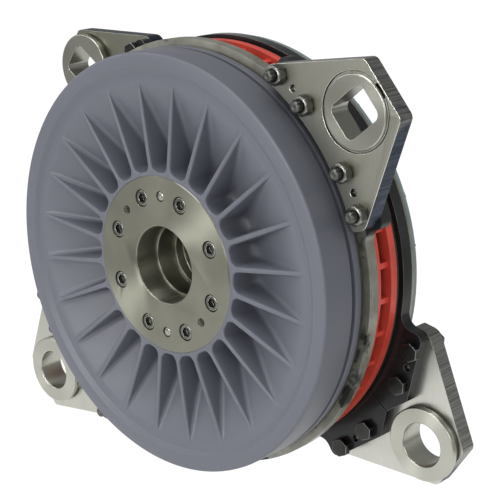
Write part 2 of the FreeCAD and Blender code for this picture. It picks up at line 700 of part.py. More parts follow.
def lug_plate(name, turn, side, front, sink=False):
    """A bright three-sided steel plate, blunt at its tip, that clamps two ears and carries a bush."""
    plate_body = new_body(name)
    words = {"side": side}
    reach = "(%(side)s_lug_circle * sin(%(side)s_side_angle * 1 deg) + %(side)s_side_reach)" % words
    corner_radius = "(%s / sin((%s_side_angle + %s_end_turn) * 1 deg))" % (reach, side, side)
    tip_out = "%(side)s_lug_circle + %(side)s_tip_reach" % words
    tip_half = "((%(side)s_side_reach - %(side)s_tip_reach * sin(%(side)s_side_angle * 1 deg))" % words
    tip_half += " / cos(%s_side_angle * 1 deg))" % side
    corner_across, corner_up = turned(corner_radius, side + "_end_turn")
    root_across, root_up = turned("(lug_inner_radius - lug_root_round)", side + "_end_turn")
    upper = [(tip_out, tip_half), (corner_across, corner_up), (root_across, root_up)]
    lower = [(across, "-(%s)" % up) for across, up in reversed(upper)]
    plate_outline = outline(plate_body, name + "_outline", "XZ_Plane", upper + lower)
    plate_outline.setExpression(".AttachmentOffset.Base.z", bound("-(%s)" % front))
    pad(plate_body, name + "_pad", plate_outline, "lug_thickness", reversed_way=True)
    inside = [("lug_inner_radius", "0", "0")]
    holes(plate_body, name + "_inner_edge", inside, "%s - 1" % front, "lug_thickness + 2")
    circle = side + "_lug_circle"
    centres = [("bush_radius + seat_clearance", circle, "0")]
    for sign in ("", "-"):
        centres += [("bolt_hole_radius",) + turned("bolt_circle", sign + angle)
                    for angle in ("bolt_near", "bolt_far")]
        centres.append(("lug_dowel_radius",) + turned("bolt_circle", sign + "dowel_turn"))
    holes(plate_body, name + "_holes", centres, front, "lug_thickness + 1")
    if sink:
        holes(plate_body, name + "_sink", [("flush_sink_radius", circle, "0")], front, "flush_sink_depth")
    doc.recompute()
    tip = [corner_of(plate_outline, number) for number in (0, 5)]
    round_edges(plate_body, name + "_tip", tip, "lug_tip_round")
    ends = [corner_of(plate_outline, number) for number in (1, 4)]
    round_edges(plate_body, name + "_ends", ends, "lug_end_round")
    inner, end = size("lug_inner_radius"), size(side + "_end_turn")
    round_edges(plate_body, name + "_roots", [polar(inner, end), polar(inner, -end)], "lug_root_round")
    turn_body(plate_body, turn)
    return plate_body


def lug_bush(name, turn, circle, front, slotted, proud=True):
    """A hardened bush, its hole round or a slot that is long along the radius, and its groove for a clip."""
    bush = new_body(name)
    stand = "bush_stand" if proud else "flush_stand"
    hole = "0" if slotted else "bush_bore_radius"
    points = [
        ("bush_bore_radius + bush_chamfer", "-%s" % stand),
        ("bush_collar_radius - edge_break", "-%s" % stand),
        ("bush_collar_radius", "edge_break - %s" % stand),
        ("bush_collar_radius", "bush_collar_length - %s" % stand),
        ("bush_radius", "bush_collar_length - %s" % stand),
        ("bush_radius", "-clip_thickness - 3 * clip_play"),
        ("clip_groove_radius", "-clip_thickness - 3 * clip_play"),
        ("clip_groove_radius", "-clip_play"),
        ("bush_radius", "-clip_play"),
    ] if proud else [
        ("bush_bore_radius + bush_chamfer", "-%s" % stand),
        ("bush_head_radius - edge_break", "-%s" % stand),
        ("bush_head_radius", "edge_break - %s" % stand),
        ("bush_head_radius", "flush_head_length - %s" % stand),
        ("clip_groove_radius", "flush_head_length - %s" % stand),
        ("clip_groove_radius", "flush_head_length - %s + clip_thickness + 2 * clip_play" % stand),
        ("bush_radius", "flush_head_length - %s + clip_thickness + 2 * clip_play" % stand),
    ]
    points += [
        ("bush_radius", "lug_thickness + bush_tail - edge_break"),
        ("bush_radius - edge_break", "lug_thickness + bush_tail"),
    ]
    if slotted:
        points = [("0", points[0][1])] + points[1:] + [("0", "lug_thickness + bush_tail")]
    else:
        points += [
            ("bush_bore_radius + bush_chamfer", "lug_thickness + bush_tail"),
            ("bush_bore_radius", "lug_thickness + bush_tail - bush_chamfer"),
            ("bush_bore_radius", "bush_chamfer - %s" % stand),
        ]
    revolve(bush, name + "_turned", outline(bush, name + "_outline", "XY_Plane", points))
    if slotted:
        slot = outline(bush, name + "_slot_outline", "XZ_Plane", [
            ("-slot_bush_length / 2", "-slot_bush_width / 2"),
            ("slot_bush_length / 2", "-slot_bush_width / 2"),
            ("slot_bush_length / 2", "slot_bush_width / 2"),
            ("-slot_bush_length / 2", "slot_bush_width / 2"),
        ])
        slot.setExpression(".AttachmentOffset.Base.z", bound("%s + 1" % stand))
        through = "lug_thickness + bush_tail + %s + 2" % stand
        pad(bush, name + "_slot", slot, through, kind="PartDesign::Pocket")
        half_long, half_wide = size("slot_bush_length") / 2, size("slot_bush_width") / 2
        corners = [(x, z) for x in (half_long, -half_long) for z in (half_wide, -half_wide)]
        round_edges(bush, name + "_slot_corners", corners, "slot_bush_round")
    turn_body(bush, turn, circle, front)
    return bush


def bush_clip(name, turn, circle, front, clip_at):
    """An open spring-steel ring in the bush's groove."""
    clip = new_body(name)
    inner = "clip_groove_radius + clip_play / 2"
    outer = "clip_groove_radius + clip_height"
    clip_back = "%s + clip_thickness" % clip_at
    revolve(clip, name + "_ring", outline(clip, name + "_outline", "XY_Plane", [
        (inner, clip_at),
        (outer, clip_at),
        (outer, clip_back),
        (inner, clip_back),
    ]))
    gap = outline(clip, name + "_gap_outline", "XY_Plane", [
        ("bush_bore_radius", "%s - 1" % clip_at),
        ("bush_radius + clip_height", "%s - 1" % clip_at),
        ("bush_radius + clip_height", "%s + 1" % clip_back),
        ("bush_bore_radius", "%s + 1" % clip_back),
    ])
    pad(clip, name + "_gap", gap, "clip_gap", midplane=True, kind="PartDesign::Pocket")
    turn_body(clip, turn, circle, front)
    return clip


proud_clip_at = "(-2 * clip_play - clip_thickness)"
flush_clip_at = "(flush_head_length - flush_stand + clip_play)"
opposite = " + 180"

snug_hole = "bolt_radius + seat_clearance"
for side_name, turn in (("left", "front_lug_turn"), ("right", "front_lug_turn" + opposite)):
    ring_half("front_ring_%s_half" % side_name, turn, "front_carrier_radius", "front_carrier_at", snug_hole)
    lining_half("front_ring_%s_front_lining" % side_name, turn, "front_lining_at")
    lining_half("front_ring_%s_back_lining" % side_name, turn, "front_back_lining_at")
for side_name, turn in (("right", "rear_lug_turn"), ("left", "rear_lug_turn" + opposite)):
    ring_half("rear_ring_%s_half" % side_name, turn, "rear_carrier_radius", "rear_carrier_at",
              "bolt_hole_radius")
    lining_half("rear_ring_%s_front_lining" % side_name, turn, "rear_lining_at")
    lining_half("rear_ring_%s_back_lining" % side_name, turn, "rear_back_lining_at")

# Each ring has one bush with a slot, which lets the ring grow, and a round one opposite
LUGS = [
    ("front_slot", "front", "front_lug_turn", True, False),
    ("front_round", "front", "front_lug_turn" + opposite, False, True),
    ("rear_round", "rear", "rear_lug_turn", False, True),
    ("rear_slot", "rear", "rear_lug_turn" + opposite, True, True),
]
for lug_name, side, turn, slotted, proud in LUGS:
    circle, front = side + "_lug_circle", side + "_plate_at"
    lug_plate(lug_name + "_lug", turn, side, front, sink=not proud)
    lug_bush(lug_name + "_bush", turn, circle, front, slotted, proud)
    bush_clip(lug_name + "_bush_clip", turn, circle, front, proud_clip_at if proud else flush_clip_at)


# Small pieces: each kind is drawn once, then copied to its places
hub_screw = new_body("hub_screw")
revolve(hub_screw, "hub_screw_turned", outline(hub_screw, "hub_screw_outline", "XY_Plane", [
    ("0", "screw_sink"),
    ("screw_head_radius - edge_break", "screw_sink"),
    ("screw_head_radius", "screw_sink + edge_break"),
    ("screw_head_radius", "screw_sink + screw_head_height"),
    ("screw_shank_radius", "screw_sink + screw_head_height"),
    ("screw_shank_radius", "screw_sink + screw_head_height + hub_screw_length"),
    ("0", "screw_sink + screw_head_height + hub_screw_length"),
]))


def hexagon(across):
    """Corner texts of a hexagon with this width across its flats."""
    return [turned("(%s) / 3 ^ 0.5" % across, "%d" % (60 * k)) for k in range(6)]


socket = outline(hub_screw, "socket_outline", "XZ_Plane", hexagon("screw_socket_across"))
pad(hub_screw, "socket", socket, "screw_sink + screw_socket_depth", kind="PartDesign::Pocket")


def hex_piece(name, across, height, hole):
    """A hexagon along Y from 0 with a round hole, or without one where the hole is None."""
    piece = new_body(name)
    sides = outline(piece, name + "_outline", "XZ_Plane", hexagon(across))
    pad(piece, name + "_hexagon", sides, height, reversed_way=True)
    if hole:
        holes(piece, name + "_hole", [(hole, "0", "0")], "0", height)
    return piece


def round_piece(name, radius, length, bevel="0.8"):
    """A plain round bar along Y from 0, bevelled at both ends."""
    piece = new_body(name)
    revolve(piece, name + "_turned", outline(piece, name + "_outline", "XY_Plane", [
        ("0", "0"),
        ("%s - %s" % (radius, bevel), "0"),
        (radius, bevel),
        (radius, "%s - %s" % (length, bevel)),
        ("%s - %s" % (radius, bevel), length),
        ("0", length),
    ]))
    return piece


lug_nut = hex_piece("lug_nut", "nut_across", "nut_height", "bolt_radius + seat_clearance")
lug_bolt_head = hex_piece("lug_bolt_head", "nut_across", "bolt_head_height", None)
rear_screw_head = hex_piece("rear_screw_head", "rear_screw_across", "rear_screw_head", None)
rear_screw_bar = round_piece("rear_screw_bar", "rear_screw_radius", "rear_rim_thickness + 2.4", "0.3")
lug_stud = round_piece("lug_stud", "bolt_radius", "stud_length")
lug_bolt_bar = round_piece("lug_bolt_bar", "bolt_radius", "(stud_length - stud_stand + bolt_stand)")
lug_dowel_length = "(carrier_thickness + lug_thickness - 2 * lug_dowel_sink)"
lug_dowel = round_piece("lug_dowel", "lug_dowel_radius", lug_dowel_length)
hub_dowel = round_piece("hub_dowel", "hub_dowel_radius", "(hub_dowel_length - 0.5)")
guide_pin = round_piece("guide_pin", "pin_radius", "(rear_rim_at + rear_web_thickness - pin_at)")
key = new_body("rear_key")
pad(key, "rear_key_pad", outline(key, "rear_key_outline", "XY_Plane", [
    ("tail_radius - key_depth", "key_at"),
    ("tail_radius - key_depth + key_height", "key_at"),
    ("tail_radius - key_depth + key_height", "key_back_at"),
    ("tail_radius - key_depth", "key_back_at"),
]), "key_width", midplane=True)
pin_bush = new_body("pin_bush")
revolve(pin_bush, "pin_bush_turned", outline(pin_bush, "pin_bush_outline", "XY_Plane", [
    ("pin_radius + running_clearance", "plate_at + web_recess"),
    ("pin_bush_radius", "plate_at + web_recess"),
    ("pin_bush_radius", "plate_back_at"),
    ("pin_radius + running_clearance", "plate_back_at"),
]))
doc.recompute()


def along_lug(shape, circle, angle, y, turn):
    """A copy of a small piece on a lug: out on a circle at an angle, at a place along the shaft."""
    copy = shape.copy()
    x, z = polar(circle, angle)
    copy.translate(Vector(x, y, z))
    return at_angle(copy, turn)


bolt_angles = [sign * size(angle) for sign in (1, -1) for angle in ("bolt_near", "bolt_far")]
dowel_angles = [size("dowel_turn"), -size("dowel_turn")]
front_turns = [size("front_lug_turn"), size("front_lug_turn") + 180]
rear_turns = [size("rear_lug_turn"), size("rear_lug_turn") + 180]
bolt_ring = size("bolt_circle")


def lug_set(name, piece, turns, angles, y):
    """Copies of a small piece on both lugs of a ring, at the same angles from each lug's axis."""
    part_group(name, [along_lug(piece, bolt_ring, angle, y, turn) for turn in turns for angle in angles])


front_nut_at = size("front_plate_at") - size("nut_height")
lug_set("front_lug_studs", lug_stud.Shape, front_turns, bolt_angles, front_nut_at - size("stud_stand"))
lug_set("front_lug_nuts", lug_nut.Shape, front_turns, bolt_angles, front_nut_at)
lug_set("front_lug_dowels", lug_dowel.Shape, front_turns, dowel_angles,
        size("front_plate_at") + size("lug_dowel_sink"))
rear_bolt = lug_bolt_bar.Shape.copy()
rear_bolt.translate(Vector(0, size("bolt_head_height") - 1, 0))
rear_bolt = rear_bolt.fuse(lug_bolt_head.Shape)
rear_head_at = size("rear_carrier_at") - size("bolt_head_height")
rear_nut_at = size("rear_plate_at") + size("lug_thickness")
lug_set("rear_lug_bolts", rear_bolt, rear_turns, bolt_angles, rear_head_at)
lug_set("rear_lug_nuts", lug_nut.Shape, rear_turns, bolt_angles, rear_nut_at)
lug_set("rear_lug_dowels", lug_dowel.Shape, rear_turns, dowel_angles,
        size("rear_carrier_at") + size("lug_dowel_sink"))


def hub_set(name, piece, circle, turns, y):
    """Copies of a small piece on a circle about the shaft axis."""
    part_group(name, [along_lug(piece, size(circle), turn, y, 0) for turn in turns])


def evenly(count, first=0.0):
    """Angles of a number of places spread evenly over the circle."""
    return [first + 360 * k / size(count) for k in range(int(size(count)))]


screw_turn = size("hub_screw_turn")
pitch_turn = 1.5 * size("screw_pitch")
pin_turns = evenly("pin_count")
hub_set("hub_screws", hub_screw.Shape, "hub_screw_circle", evenly("hub_screw_count", screw_turn), 0)
dowel_turns = [screw_turn + pitch_turn, screw_turn + pitch_turn + 180]
hub_set("hub_dowels", hub_dowel.Shape, "hub_screw_circle", dowel_turns, 0.4)
hub_set("guide_pins", guide_pin.Shape, "pin_circle", pin_turns, size("pin_at"))
hub_set("pin_bushes", pin_bush.Shape, "pin_circle", pin_turns, 0)
part_group("rear_keys", [at_angle(key.Shape, turn) for turn in (0, 180)])
rear_screw = rear_screw_bar.Shape.copy()
rear_screw.translate(Vector(0, -size("rear_rim_thickness") - 2.2, 0))
rear_screw = rear_screw.fuse(rear_screw_head.Shape)
rear_screw_turns = evenly("rear_screw_count", size("rear_screw_turn"))
rear_face = size("rear_rim_at") + size("rear_rim_thickness")
hub_set("rear_screws", rear_screw, "rear_screw_circle", rear_screw_turns, rear_face)


def seal_ring(name, inner, outer, groove_at):
    """A rubber ring of square section that fills its groove but for a clearance."""
    ring = new_body(name)
    near = "%s + seal_clearance" % groove_at
    far = "%s + seal_groove_width - seal_clearance" % groove_at
    revolve(ring, name + "_ring", outline(ring, name + "_outline", "XY_Plane", [
        (inner, near), (outer, near), (outer, far), (inner, far),
    ]))
    return ring


seal_ring("barrel_seal", "barrel_radius + seal_clearance",
          "barrel_radius + running_clearance + seal_groove_depth - seal_clearance",
          "web_back_at - 2 * seal_groove_width")
seal_ring("piston_seal", "cylinder_radius - seal_groove_depth + seal_clearance",
          "cylinder_radius + running_clearance - seal_clearance", "piston_groove_at")


def coil_spring(out, turn, start, length):
    """A compression spring: six-sided wire along a helix about a line parallel to the shaft."""
    wire_radius = size("spring_wire_radius")
    coil_radius = size("spring_radius")
    pitch = (length - 2 * wire_radius) / size("spring_coils")
    helix = Part.makeHelix(pitch, length - 2 * wire_radius, coil_radius)
    corners = [Vector(coil_radius + polar(wire_radius, 60 * k)[0], 0, polar(wire_radius, 60 * k)[1])
               for k in range(7)]
    section = Part.makePolygon(corners)
    spring = Part.Wire(helix.Edges).makePipeShell([section], True, True)
    spring.rotate(Vector(0, 0, 0), Vector(1, 0, 0), -90)
    x, z = polar(out, turn)
    spring.translate(Vector(x, start + wire_radius, z))
    return spring


spring_start = size("pin_at") + 0.2
spring_length = size("spring_end_at") - 0.2 - spring_start
spring_turns = evenly("pin_count", 180 / size("pin_count"))
springs = [coil_spring(size("pin_circle"), turn, spring_start, spring_length) for turn in spring_turns]
part_group("return_springs", springs)


def save_all(names):
    """Check every object and write each sub-part to its file."""
    doc.recompute()
    for item in doc.Objects:
        if "Invalid" in item.State or "Error" in item.State:
            raise RuntimeError("failed: %s %s" % (item.Name, item.State))
    os.makedirs("parts", exist_ok=True)
    for name in names:
        item = doc.getObjectsByLabel(name)[0]
        if item.Shape.isNull() or not item.Shape.isValid():
            raise RuntimeError("bad shape: %s" % name)
        item.Shape.exportStep("parts/%s.step" % name)
        print(name, "solids", len(item.Shape.Solids), "volume", round(item.Shape.Volume))


NODES = [
    "hub", "front_dish", "pressure_plate", "fixed_piston", "rear_plate", "rear_wear_ring", "lock_nut",
    "front_ring_left_half", "front_ring_right_half", "front_ring_left_front_lining",
    "front_ring_left_back_lining", "front_ring_right_front_lining", "front_ring_right_back_lining",
    "front_slot_lug", "front_round_lug", "front_slot_bush", "front_round_bush", "front_slot_bush_clip",
    "front_round_bush_clip",
    "rear_ring_right_half", "rear_ring_left_half", "rear_ring_right_front_lining",
    "rear_ring_right_back_lining", "rear_ring_left_front_lining", "rear_ring_left_back_lining",
    "rear_round_lug", "rear_slot_lug", "rear_round_bush", "rear_slot_bush", "rear_round_bush_clip",
    "rear_slot_bush_clip",
    "front_lug_studs", "front_lug_nuts", "front_lug_dowels", "rear_lug_bolts", "rear_lug_nuts",
    "rear_lug_dowels", "hub_screws", "hub_dowels", "guide_pins", "pin_bushes", "rear_keys", "rear_screws",
    "barrel_seal", "piston_seal", "return_springs",
]
save_all(NODES)
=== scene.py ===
import bmesh
import bpy
import json
import math
import numpy as np
from mathutils import Matrix, Vector


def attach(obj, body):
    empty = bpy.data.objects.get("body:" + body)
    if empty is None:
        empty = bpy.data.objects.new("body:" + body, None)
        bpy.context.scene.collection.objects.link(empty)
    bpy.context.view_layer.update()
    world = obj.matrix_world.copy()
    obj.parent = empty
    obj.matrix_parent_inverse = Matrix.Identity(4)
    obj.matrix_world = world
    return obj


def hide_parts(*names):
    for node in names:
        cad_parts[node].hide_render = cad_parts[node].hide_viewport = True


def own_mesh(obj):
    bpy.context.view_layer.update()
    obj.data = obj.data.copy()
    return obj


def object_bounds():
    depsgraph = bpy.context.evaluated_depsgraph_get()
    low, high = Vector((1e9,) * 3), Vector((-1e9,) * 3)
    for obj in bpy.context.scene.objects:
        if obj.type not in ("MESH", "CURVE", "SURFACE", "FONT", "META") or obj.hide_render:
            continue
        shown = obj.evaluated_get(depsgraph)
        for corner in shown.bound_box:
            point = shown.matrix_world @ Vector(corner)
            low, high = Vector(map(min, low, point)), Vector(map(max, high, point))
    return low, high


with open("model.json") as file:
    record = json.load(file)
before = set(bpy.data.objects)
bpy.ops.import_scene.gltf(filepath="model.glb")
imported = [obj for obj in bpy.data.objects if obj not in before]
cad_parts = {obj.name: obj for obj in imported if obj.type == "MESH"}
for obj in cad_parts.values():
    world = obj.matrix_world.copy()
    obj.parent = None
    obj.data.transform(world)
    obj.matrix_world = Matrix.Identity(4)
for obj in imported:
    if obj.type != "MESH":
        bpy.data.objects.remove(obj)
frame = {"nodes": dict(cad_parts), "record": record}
cad_corners = [list(corner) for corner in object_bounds()]
scene = bpy.context.scene

# Camera: it stands to the right of the shaft axis and a little above it. Its sensor is shifted
# because the picture was cut out off centre. Distances are metres in the frame's axes.
camera_azimuth, camera_elevation = math.radians(43.297), math.radians(16.353)
camera_distance = 1.49264
aim_right, aim_up = 0.07767, 0.06125
sensor_width, focal_length = 36.0, 98.0
shift_right, shift_up = 0.0316, -0.0812
back = Vector((math.sin(camera_azimuth) * math.cos(camera_elevation),
               -math.cos(camera_azimuth) * math.cos(camera_elevation),
               math.sin(camera_elevation)))
right = Vector((math.cos(camera_azimuth), math.sin(camera_azimuth), 0.0))
up = back.cross(right)
camera_data = bpy.data.cameras.new("camera")
camera_data.sensor_width = sensor_width
camera_data.lens = focal_length
camera_data.shift_x = shift_right
camera_data.shift_y = shift_up
camera = bpy.data.objects.new("camera", camera_data)
camera.matrix_world = (Matrix.Translation(back * camera_distance + right * aim_right + up * aim_up)
                       @ Matrix((right, up, back)).transposed().to_4x4())
scene.collection.objects.link(camera)
scene.camera = camera
scene.view_settings.view_transform = "Standard"

# Floor and light: a pale table well below the part in a plain room, and four soft area lights. The eye
# sees table and room as white. Metal sees the table white nearby, and the room dimmer above it.
floor_drop, floor_width, floor_grey = 0.45, 40, 0.90
table_share, table_white = 0.90, 1.09
gloss_near, gloss_far, far_gloss = 1.3, 3.1, 0.34
room_level, room_gloss_low, room_gloss_high, room_gloss_rise = 0.66, 0.55, 0.26, 0.5
lamps = {
    "key": {"place": (-0.42, -2.25, 0.38), "size": 0.8, "watts": 22.0},
    "left": {"place": (-2.0, -1.4, 1.0), "size": 1.2, "watts": 9.0},
    "top": {"place": (-0.3, -0.7, 2.3), "size": 1.5, "watts": 27.0},
    "side": {"place": (2.0, -1.5, 0.8), "size": 1.0, "watts": 9.0},
}


def add(tree, kind, settings, inputs):
    """A new shader node with its settings. Each input, by name or number, takes a value, or is linked
    from another node's socket."""
    node = tree.nodes.new("ShaderNode" + kind)
    for name, value in settings.items():
        setattr(node, name, value)
    for key, value in inputs.items():
        if isinstance(value, bpy.types.NodeSocket):
            tree.links.new(value, node.inputs[key])
        else:
            node.inputs[key].default_value = value
    return node


def fade(tree, value, start, stop, first, last):
    """A soft step from first at value start to last at value stop."""
    step = add(tree, "MapRange", {"interpolation_type": "SMOOTHSTEP"}, {
        "Value": value, "From Min": start, "From Max": stop, "To Min": first, "To Max": last})
    return step.outputs["Result"]


def level_by_ray(tree, eye, gloss, others):
    """A strength that is eye for camera and transmission rays, gloss for glossy ones and others for
    diffuse ones, each a number or a socket."""
    rays = add(tree, "LightPath", {}, {}).outputs
    seen = add(tree, "Math", {"operation": "MAXIMUM"}, {
        0: rays["Is Camera Ray"], 1: rays["Is Transmission Ray"]})
    unseen = add(tree, "MapRange", {}, {"Value": rays["Is Glossy Ray"], "To Min": others, "To Max": gloss})
    return add(tree, "MapRange", {}, {
        "Value": seen.outputs[0], "To Min": unseen.outputs["Result"], "To Max": eye}).outputs["Result"]


bpy.ops.mesh.primitive_plane_add(size=floor_width, location=(0, 0, cad_corners[0][2] - floor_drop))
floor = bpy.context.object
floor.name = "floor"
floor_paint = bpy.data.materials.new("floor")
floor_paint.use_nodes = True
floor_tree = floor_paint.node_tree
floor_matt = floor_tree.nodes["Principled BSDF"]
floor_matt.inputs["Base Color"].default_value = (floor_grey, floor_grey, floor_grey, 1)
floor_matt.inputs["Roughness"].default_value = 1.0
floor_matt.inputs["Specular IOR Level"].default_value = 0.0
floor_place = add(floor_tree, "TexCoord", {}, {})
floor_away = add(floor_tree, "VectorMath", {"operation": "LENGTH"}, {0: floor_place.outputs["Object"]})
near_white = fade(floor_tree, floor_away.outputs["Value"], gloss_near, gloss_far, 1.0, far_gloss)
floor_glow = add(floor_tree, "Emission", {}, {
    "Strength": level_by_ray(floor_tree, table_white, near_white, 0.0)})
floor_mix = add(floor_tree, "MixShader", {}, {
    0: level_by_ray(floor_tree, table_share, table_share, 0.0),
    1: floor_matt.outputs[0], 2: floor_glow.outputs[0]})
floor_tree.links.new(floor_mix.outputs[0], floor_tree.nodes["Material Output"].inputs["Surface"])
floor.data.materials.append(floor_paint)
scene.world = bpy.data.worlds.new("room")
scene.world.use_nodes = True
room_tree = scene.world.node_tree
room_light = room_tree.nodes["Background"]
room_light.inputs["Color"].default_value = (1.0, 1.0, 1.0, 1)
room_way = add(room_tree, "SeparateXYZ", {}, {0: add(room_tree, "TexCoord", {}, {}).outputs["Generated"]})
dimmer_above = fade(room_tree, room_way.outputs["Z"], 0.0, room_gloss_rise, room_gloss_low, room_gloss_high)
room_tree.links.new(level_by_ray(room_tree, 1.0, dimmer_above, room_level), room_light.inputs["Strength"])
for name, facts in lamps.items():
    lamp = bpy.data.lights.new(name, "AREA")
    lamp.size = facts["size"]
    lamp.energy = facts["watts"]
    light = bpy.data.objects.new(name, lamp)
    light.location = facts["place"]
    light.rotation_euler = (-light.location).to_track_quat("-Z", "Y").to_euler()
    scene.collection.objects.link(light)

# Hub: one piece of turned and ground steel with its bare flange in front. The tool's rings round the
# shaft axis spread each light into a bright fan, and the pilot and the shaft bore show deeper in.
weld, merge_angle = 2e-6, math.radians(0.6)
ring_depth = 0.00003
noise_low, noise_high = 0.3, 0.7
circle_cuts, shortest_cut, most_sag, same_radius = 3, 0.0022, 0.0004, 4e-6
record = frame["record"]
body_of = {node: body for body, nodes in record["behaviour"]["bodies"].items() for node in nodes}
dressed = []


def cloud(tree, scale, detail, stretch=(1, 1, 1), roughness=0.5):
    """A noise over Object coordinates times stretch."""
    place = add(tree, "TexCoord", {}, {})
    spread = add(tree, "Mapping", {}, {"Vector": place.outputs["Object"], "Scale": stretch})
    return add(tree, "TexNoise", {}, {"Vector": spread.outputs["Vector"], "Scale": scale,
                                      "Detail": detail, "Roughness": roughness}).outputs["Fac"]


def bump(tree, height, depth):
    """The normal follows a surface raised by height times depth in metres."""
    raised = add(tree, "Bump", {}, {"Strength": 1.0, "Distance": depth, "Height": height})
    tree.links.new(raised.outputs["Normal"], tree.nodes["Principled BSDF"].inputs["Normal"])


def finish(name, colour, metallic, roughness, drift=0.12, drift_scale=9.0, grain=0.0,
           grain_scale=(300, 300, 300)):
    """A material whose colour is multiplied by a noise between one less drift and one plus drift, with
    a bump of height grain."""
    material = bpy.data.materials.new(name)
    material.use_nodes = True
    tree = material.node_tree
    shader = tree.nodes["Principled BSDF"]
    shader.inputs["Metallic"].default_value = metallic
    shader.inputs["Roughness"].default_value = roughness
    share = add(tree, "MapRange", {}, {
        "Value": cloud(tree, drift_scale, 5.0), "From Min": noise_low, "From Max": noise_high,
        "To Min": 1.0 - drift, "To Max": 1.0 + drift})
    tint = add(tree, "VectorMath", {"operation": "SCALE"}, {0: colour, "Scale": share.outputs["Result"]})
    tree.links.new(tint.outputs["Vector"], shader.inputs["Base Color"])
    if grain > 0:
        bump(tree, cloud(tree, 1.0, 3.0, grain_scale), grain)
    return material


def from_axis(tree, centre=(0.0, 0.0, 0.0)):
    """The distance from a line along Y through the centre."""
    place = add(tree, "TexCoord", {}, {})
    level = add(tree, "Mapping", {}, {"Vector": place.outputs["Object"], "Scale": (1.0, 0.0, 1.0),
                                      "Location": (-centre[0], 0.0, -centre[2])})
    return add(tree, "VectorMath", {"operation": "LENGTH"}, {0: level.outputs["Vector"]}).outputs["Value"]


def turned(material, stretch, rings, centre=(0.0, 0.0, 0.0)):
    """Rings about a line along Y through the centre: the distance from it times rings gives a noise for
    the height, and the gloss is stretched across the tool's path."""
    tree = material.node_tree
    shader = tree.nodes["Principled BSDF"]
    shader.inputs["Anisotropic"].default_value = stretch
    shader.inputs["Anisotropic Rotation"].default_value = 0.25
    path = add(tree, "Tangent", {"direction_type": "RADIAL", "axis": "Y"}, {})
    tree.links.new(path.outputs["Tangent"], shader.inputs["Tangent"])
    groove = add(tree, "TexNoise", {"noise_dimensions": "1D"}, {
        "W": from_axis(tree, centre), "Scale": rings, "Detail": 3.0})
    bump(tree, groove.outputs["Fac"], ring_depth)
    return material


def spots_of(mesh):
    """The places of a mesh's corners, one row of x, y and z for each."""
    spots = np.empty(len(mesh.vertices) * 3)
    mesh.vertices.foreach_get("co", spots)
    return spots.reshape(-1, 3)


def finer_circles(work, mesh, centre):
    """Each straight piece of a circle about the centre's Y line is cut in equal pieces, and the new
    corners move out to the circle's own radius. The mesh holds what work holds, before and after."""
    spots = spots_of(mesh)
    radius = np.hypot(spots[:, 0] - centre[0], spots[:, 2] - centre[2])
    ends = np.empty(len(mesh.edges) * 2, int)
    mesh.edges.foreach_get("vertices", ends)
    first, last = ends[::2], ends[1::2]
    middle = (spots[first] + spots[last]) / 2
    sag = radius[first] - np.hypot(middle[:, 0] - centre[0], middle[:, 2] - centre[2])
    chosen = np.flatnonzero((np.linalg.norm(spots[first] - spots[last], axis=1) > shortest_cut)
                            & (np.abs(spots[first, 1] - spots[last, 1]) < weld)
                            & (np.abs(radius[first] - radius[last]) < same_radius) & (sag < most_sag))
    edges = list(work.edges)
    bmesh.ops.subdivide_edges(work, edges=[edges[number] for number in chosen], cuts=circle_cuts,
                              use_grid_fill=True)
    work.to_mesh(mesh)
    circles, old = np.unique(np.round(radius, 6)), len(radius)
    spots = spots_of(mesh)
    radius = np.hypot(spots[old:, 0] - centre[0], spots[old:, 2] - centre[2])
    above = circles[np.minimum(np.searchsorted(circles, radius + 1e-7), len(circles) - 1)]
    grow = np.where((above > radius) & (above - radius < most_sag), above / np.maximum(radius, 1e-9), 1.0)
    for axis in (0, 2):
        spots[old:, axis] = centre[axis] + (spots[old:, axis] - centre[axis]) * grow
    mesh.vertices.foreach_set("co", spots.ravel())
    mesh.update()


def show(name, mesh, angle):
    """An object for a mesh, shaded smooth but for edges sharper than the angle in degrees."""
    mesh.polygons.foreach_set("use_smooth", np.ones(len(mesh.polygons), bool))
    mesh.set_sharp_from_angle(angle=math.radians(angle))
    piece = bpy.data.objects.new(name, mesh)
    scene.collection.objects.link(piece)
    return piece


def seat(piece, node):
    """The piece stands for its node and rides on the node's body."""
    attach(piece, body_of[node])
    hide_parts(node)


def dress(node, material, edge=0.0006, angle=32, arris=None, centre=None):
    """The piece's own mesh, welded, its flat stretches merged, circles about the centre made finer, and
    its edges bevelled by edge in metres, in the arris material where one is given: a lighter edge colour
    that paints a highlight, with wear as well on some pieces."""
    mesh = frame["nodes"][node].data.copy()
    mesh.name = node + "_look"
    work = bmesh.new()
    work.from_mesh(mesh)
    bmesh.ops.remove_doubles(work, verts=work.verts, dist=weld)
    bmesh.ops.dissolve_limit(work, angle_limit=merge_angle, verts=work.verts, edges=work.edges)
    work.to_mesh(mesh)
    if centre is not None:
        finer_circles(work, mesh, centre)
    work.free()
    mesh.materials.clear()
    mesh.materials.append(material)
    if arris:
        mesh.materials.append(arris)
    piece = show(node + "_look", mesh, angle)
    if edge:
        bevel = piece.modifiers.new("edge", "BEVEL")
        bevel.width = edge
        bevel.segments = 2
        bevel.material = 1 if arris else -1
        bevel.limit_method = "ANGLE"
        bevel.angle_limit = math.radians(angle)
        bevel.harden_normals = True
        dressed.append(piece)
    seat(piece, node)
    return piece


turned_steel = finish("turned_steel", (0.285, 0.285, 0.232), 1.0, 0.33, 0.08, 30.0)
hub_steel = turned(turned_steel, 0.92, 1400.0)
# The lighter arris colour is partly bare ground steel and partly a painted highlight on the edges.
arris_bare_and_highlight = finish("arris_bare_and_highlight", (0.72, 0.72, 0.64), 1.0, 0.22, 0.10, 60.0)
dress("hub", hub_steel, 0.0009, arris=arris_bare_and_highlight, centre=(0.0, 0.0, 0.0))

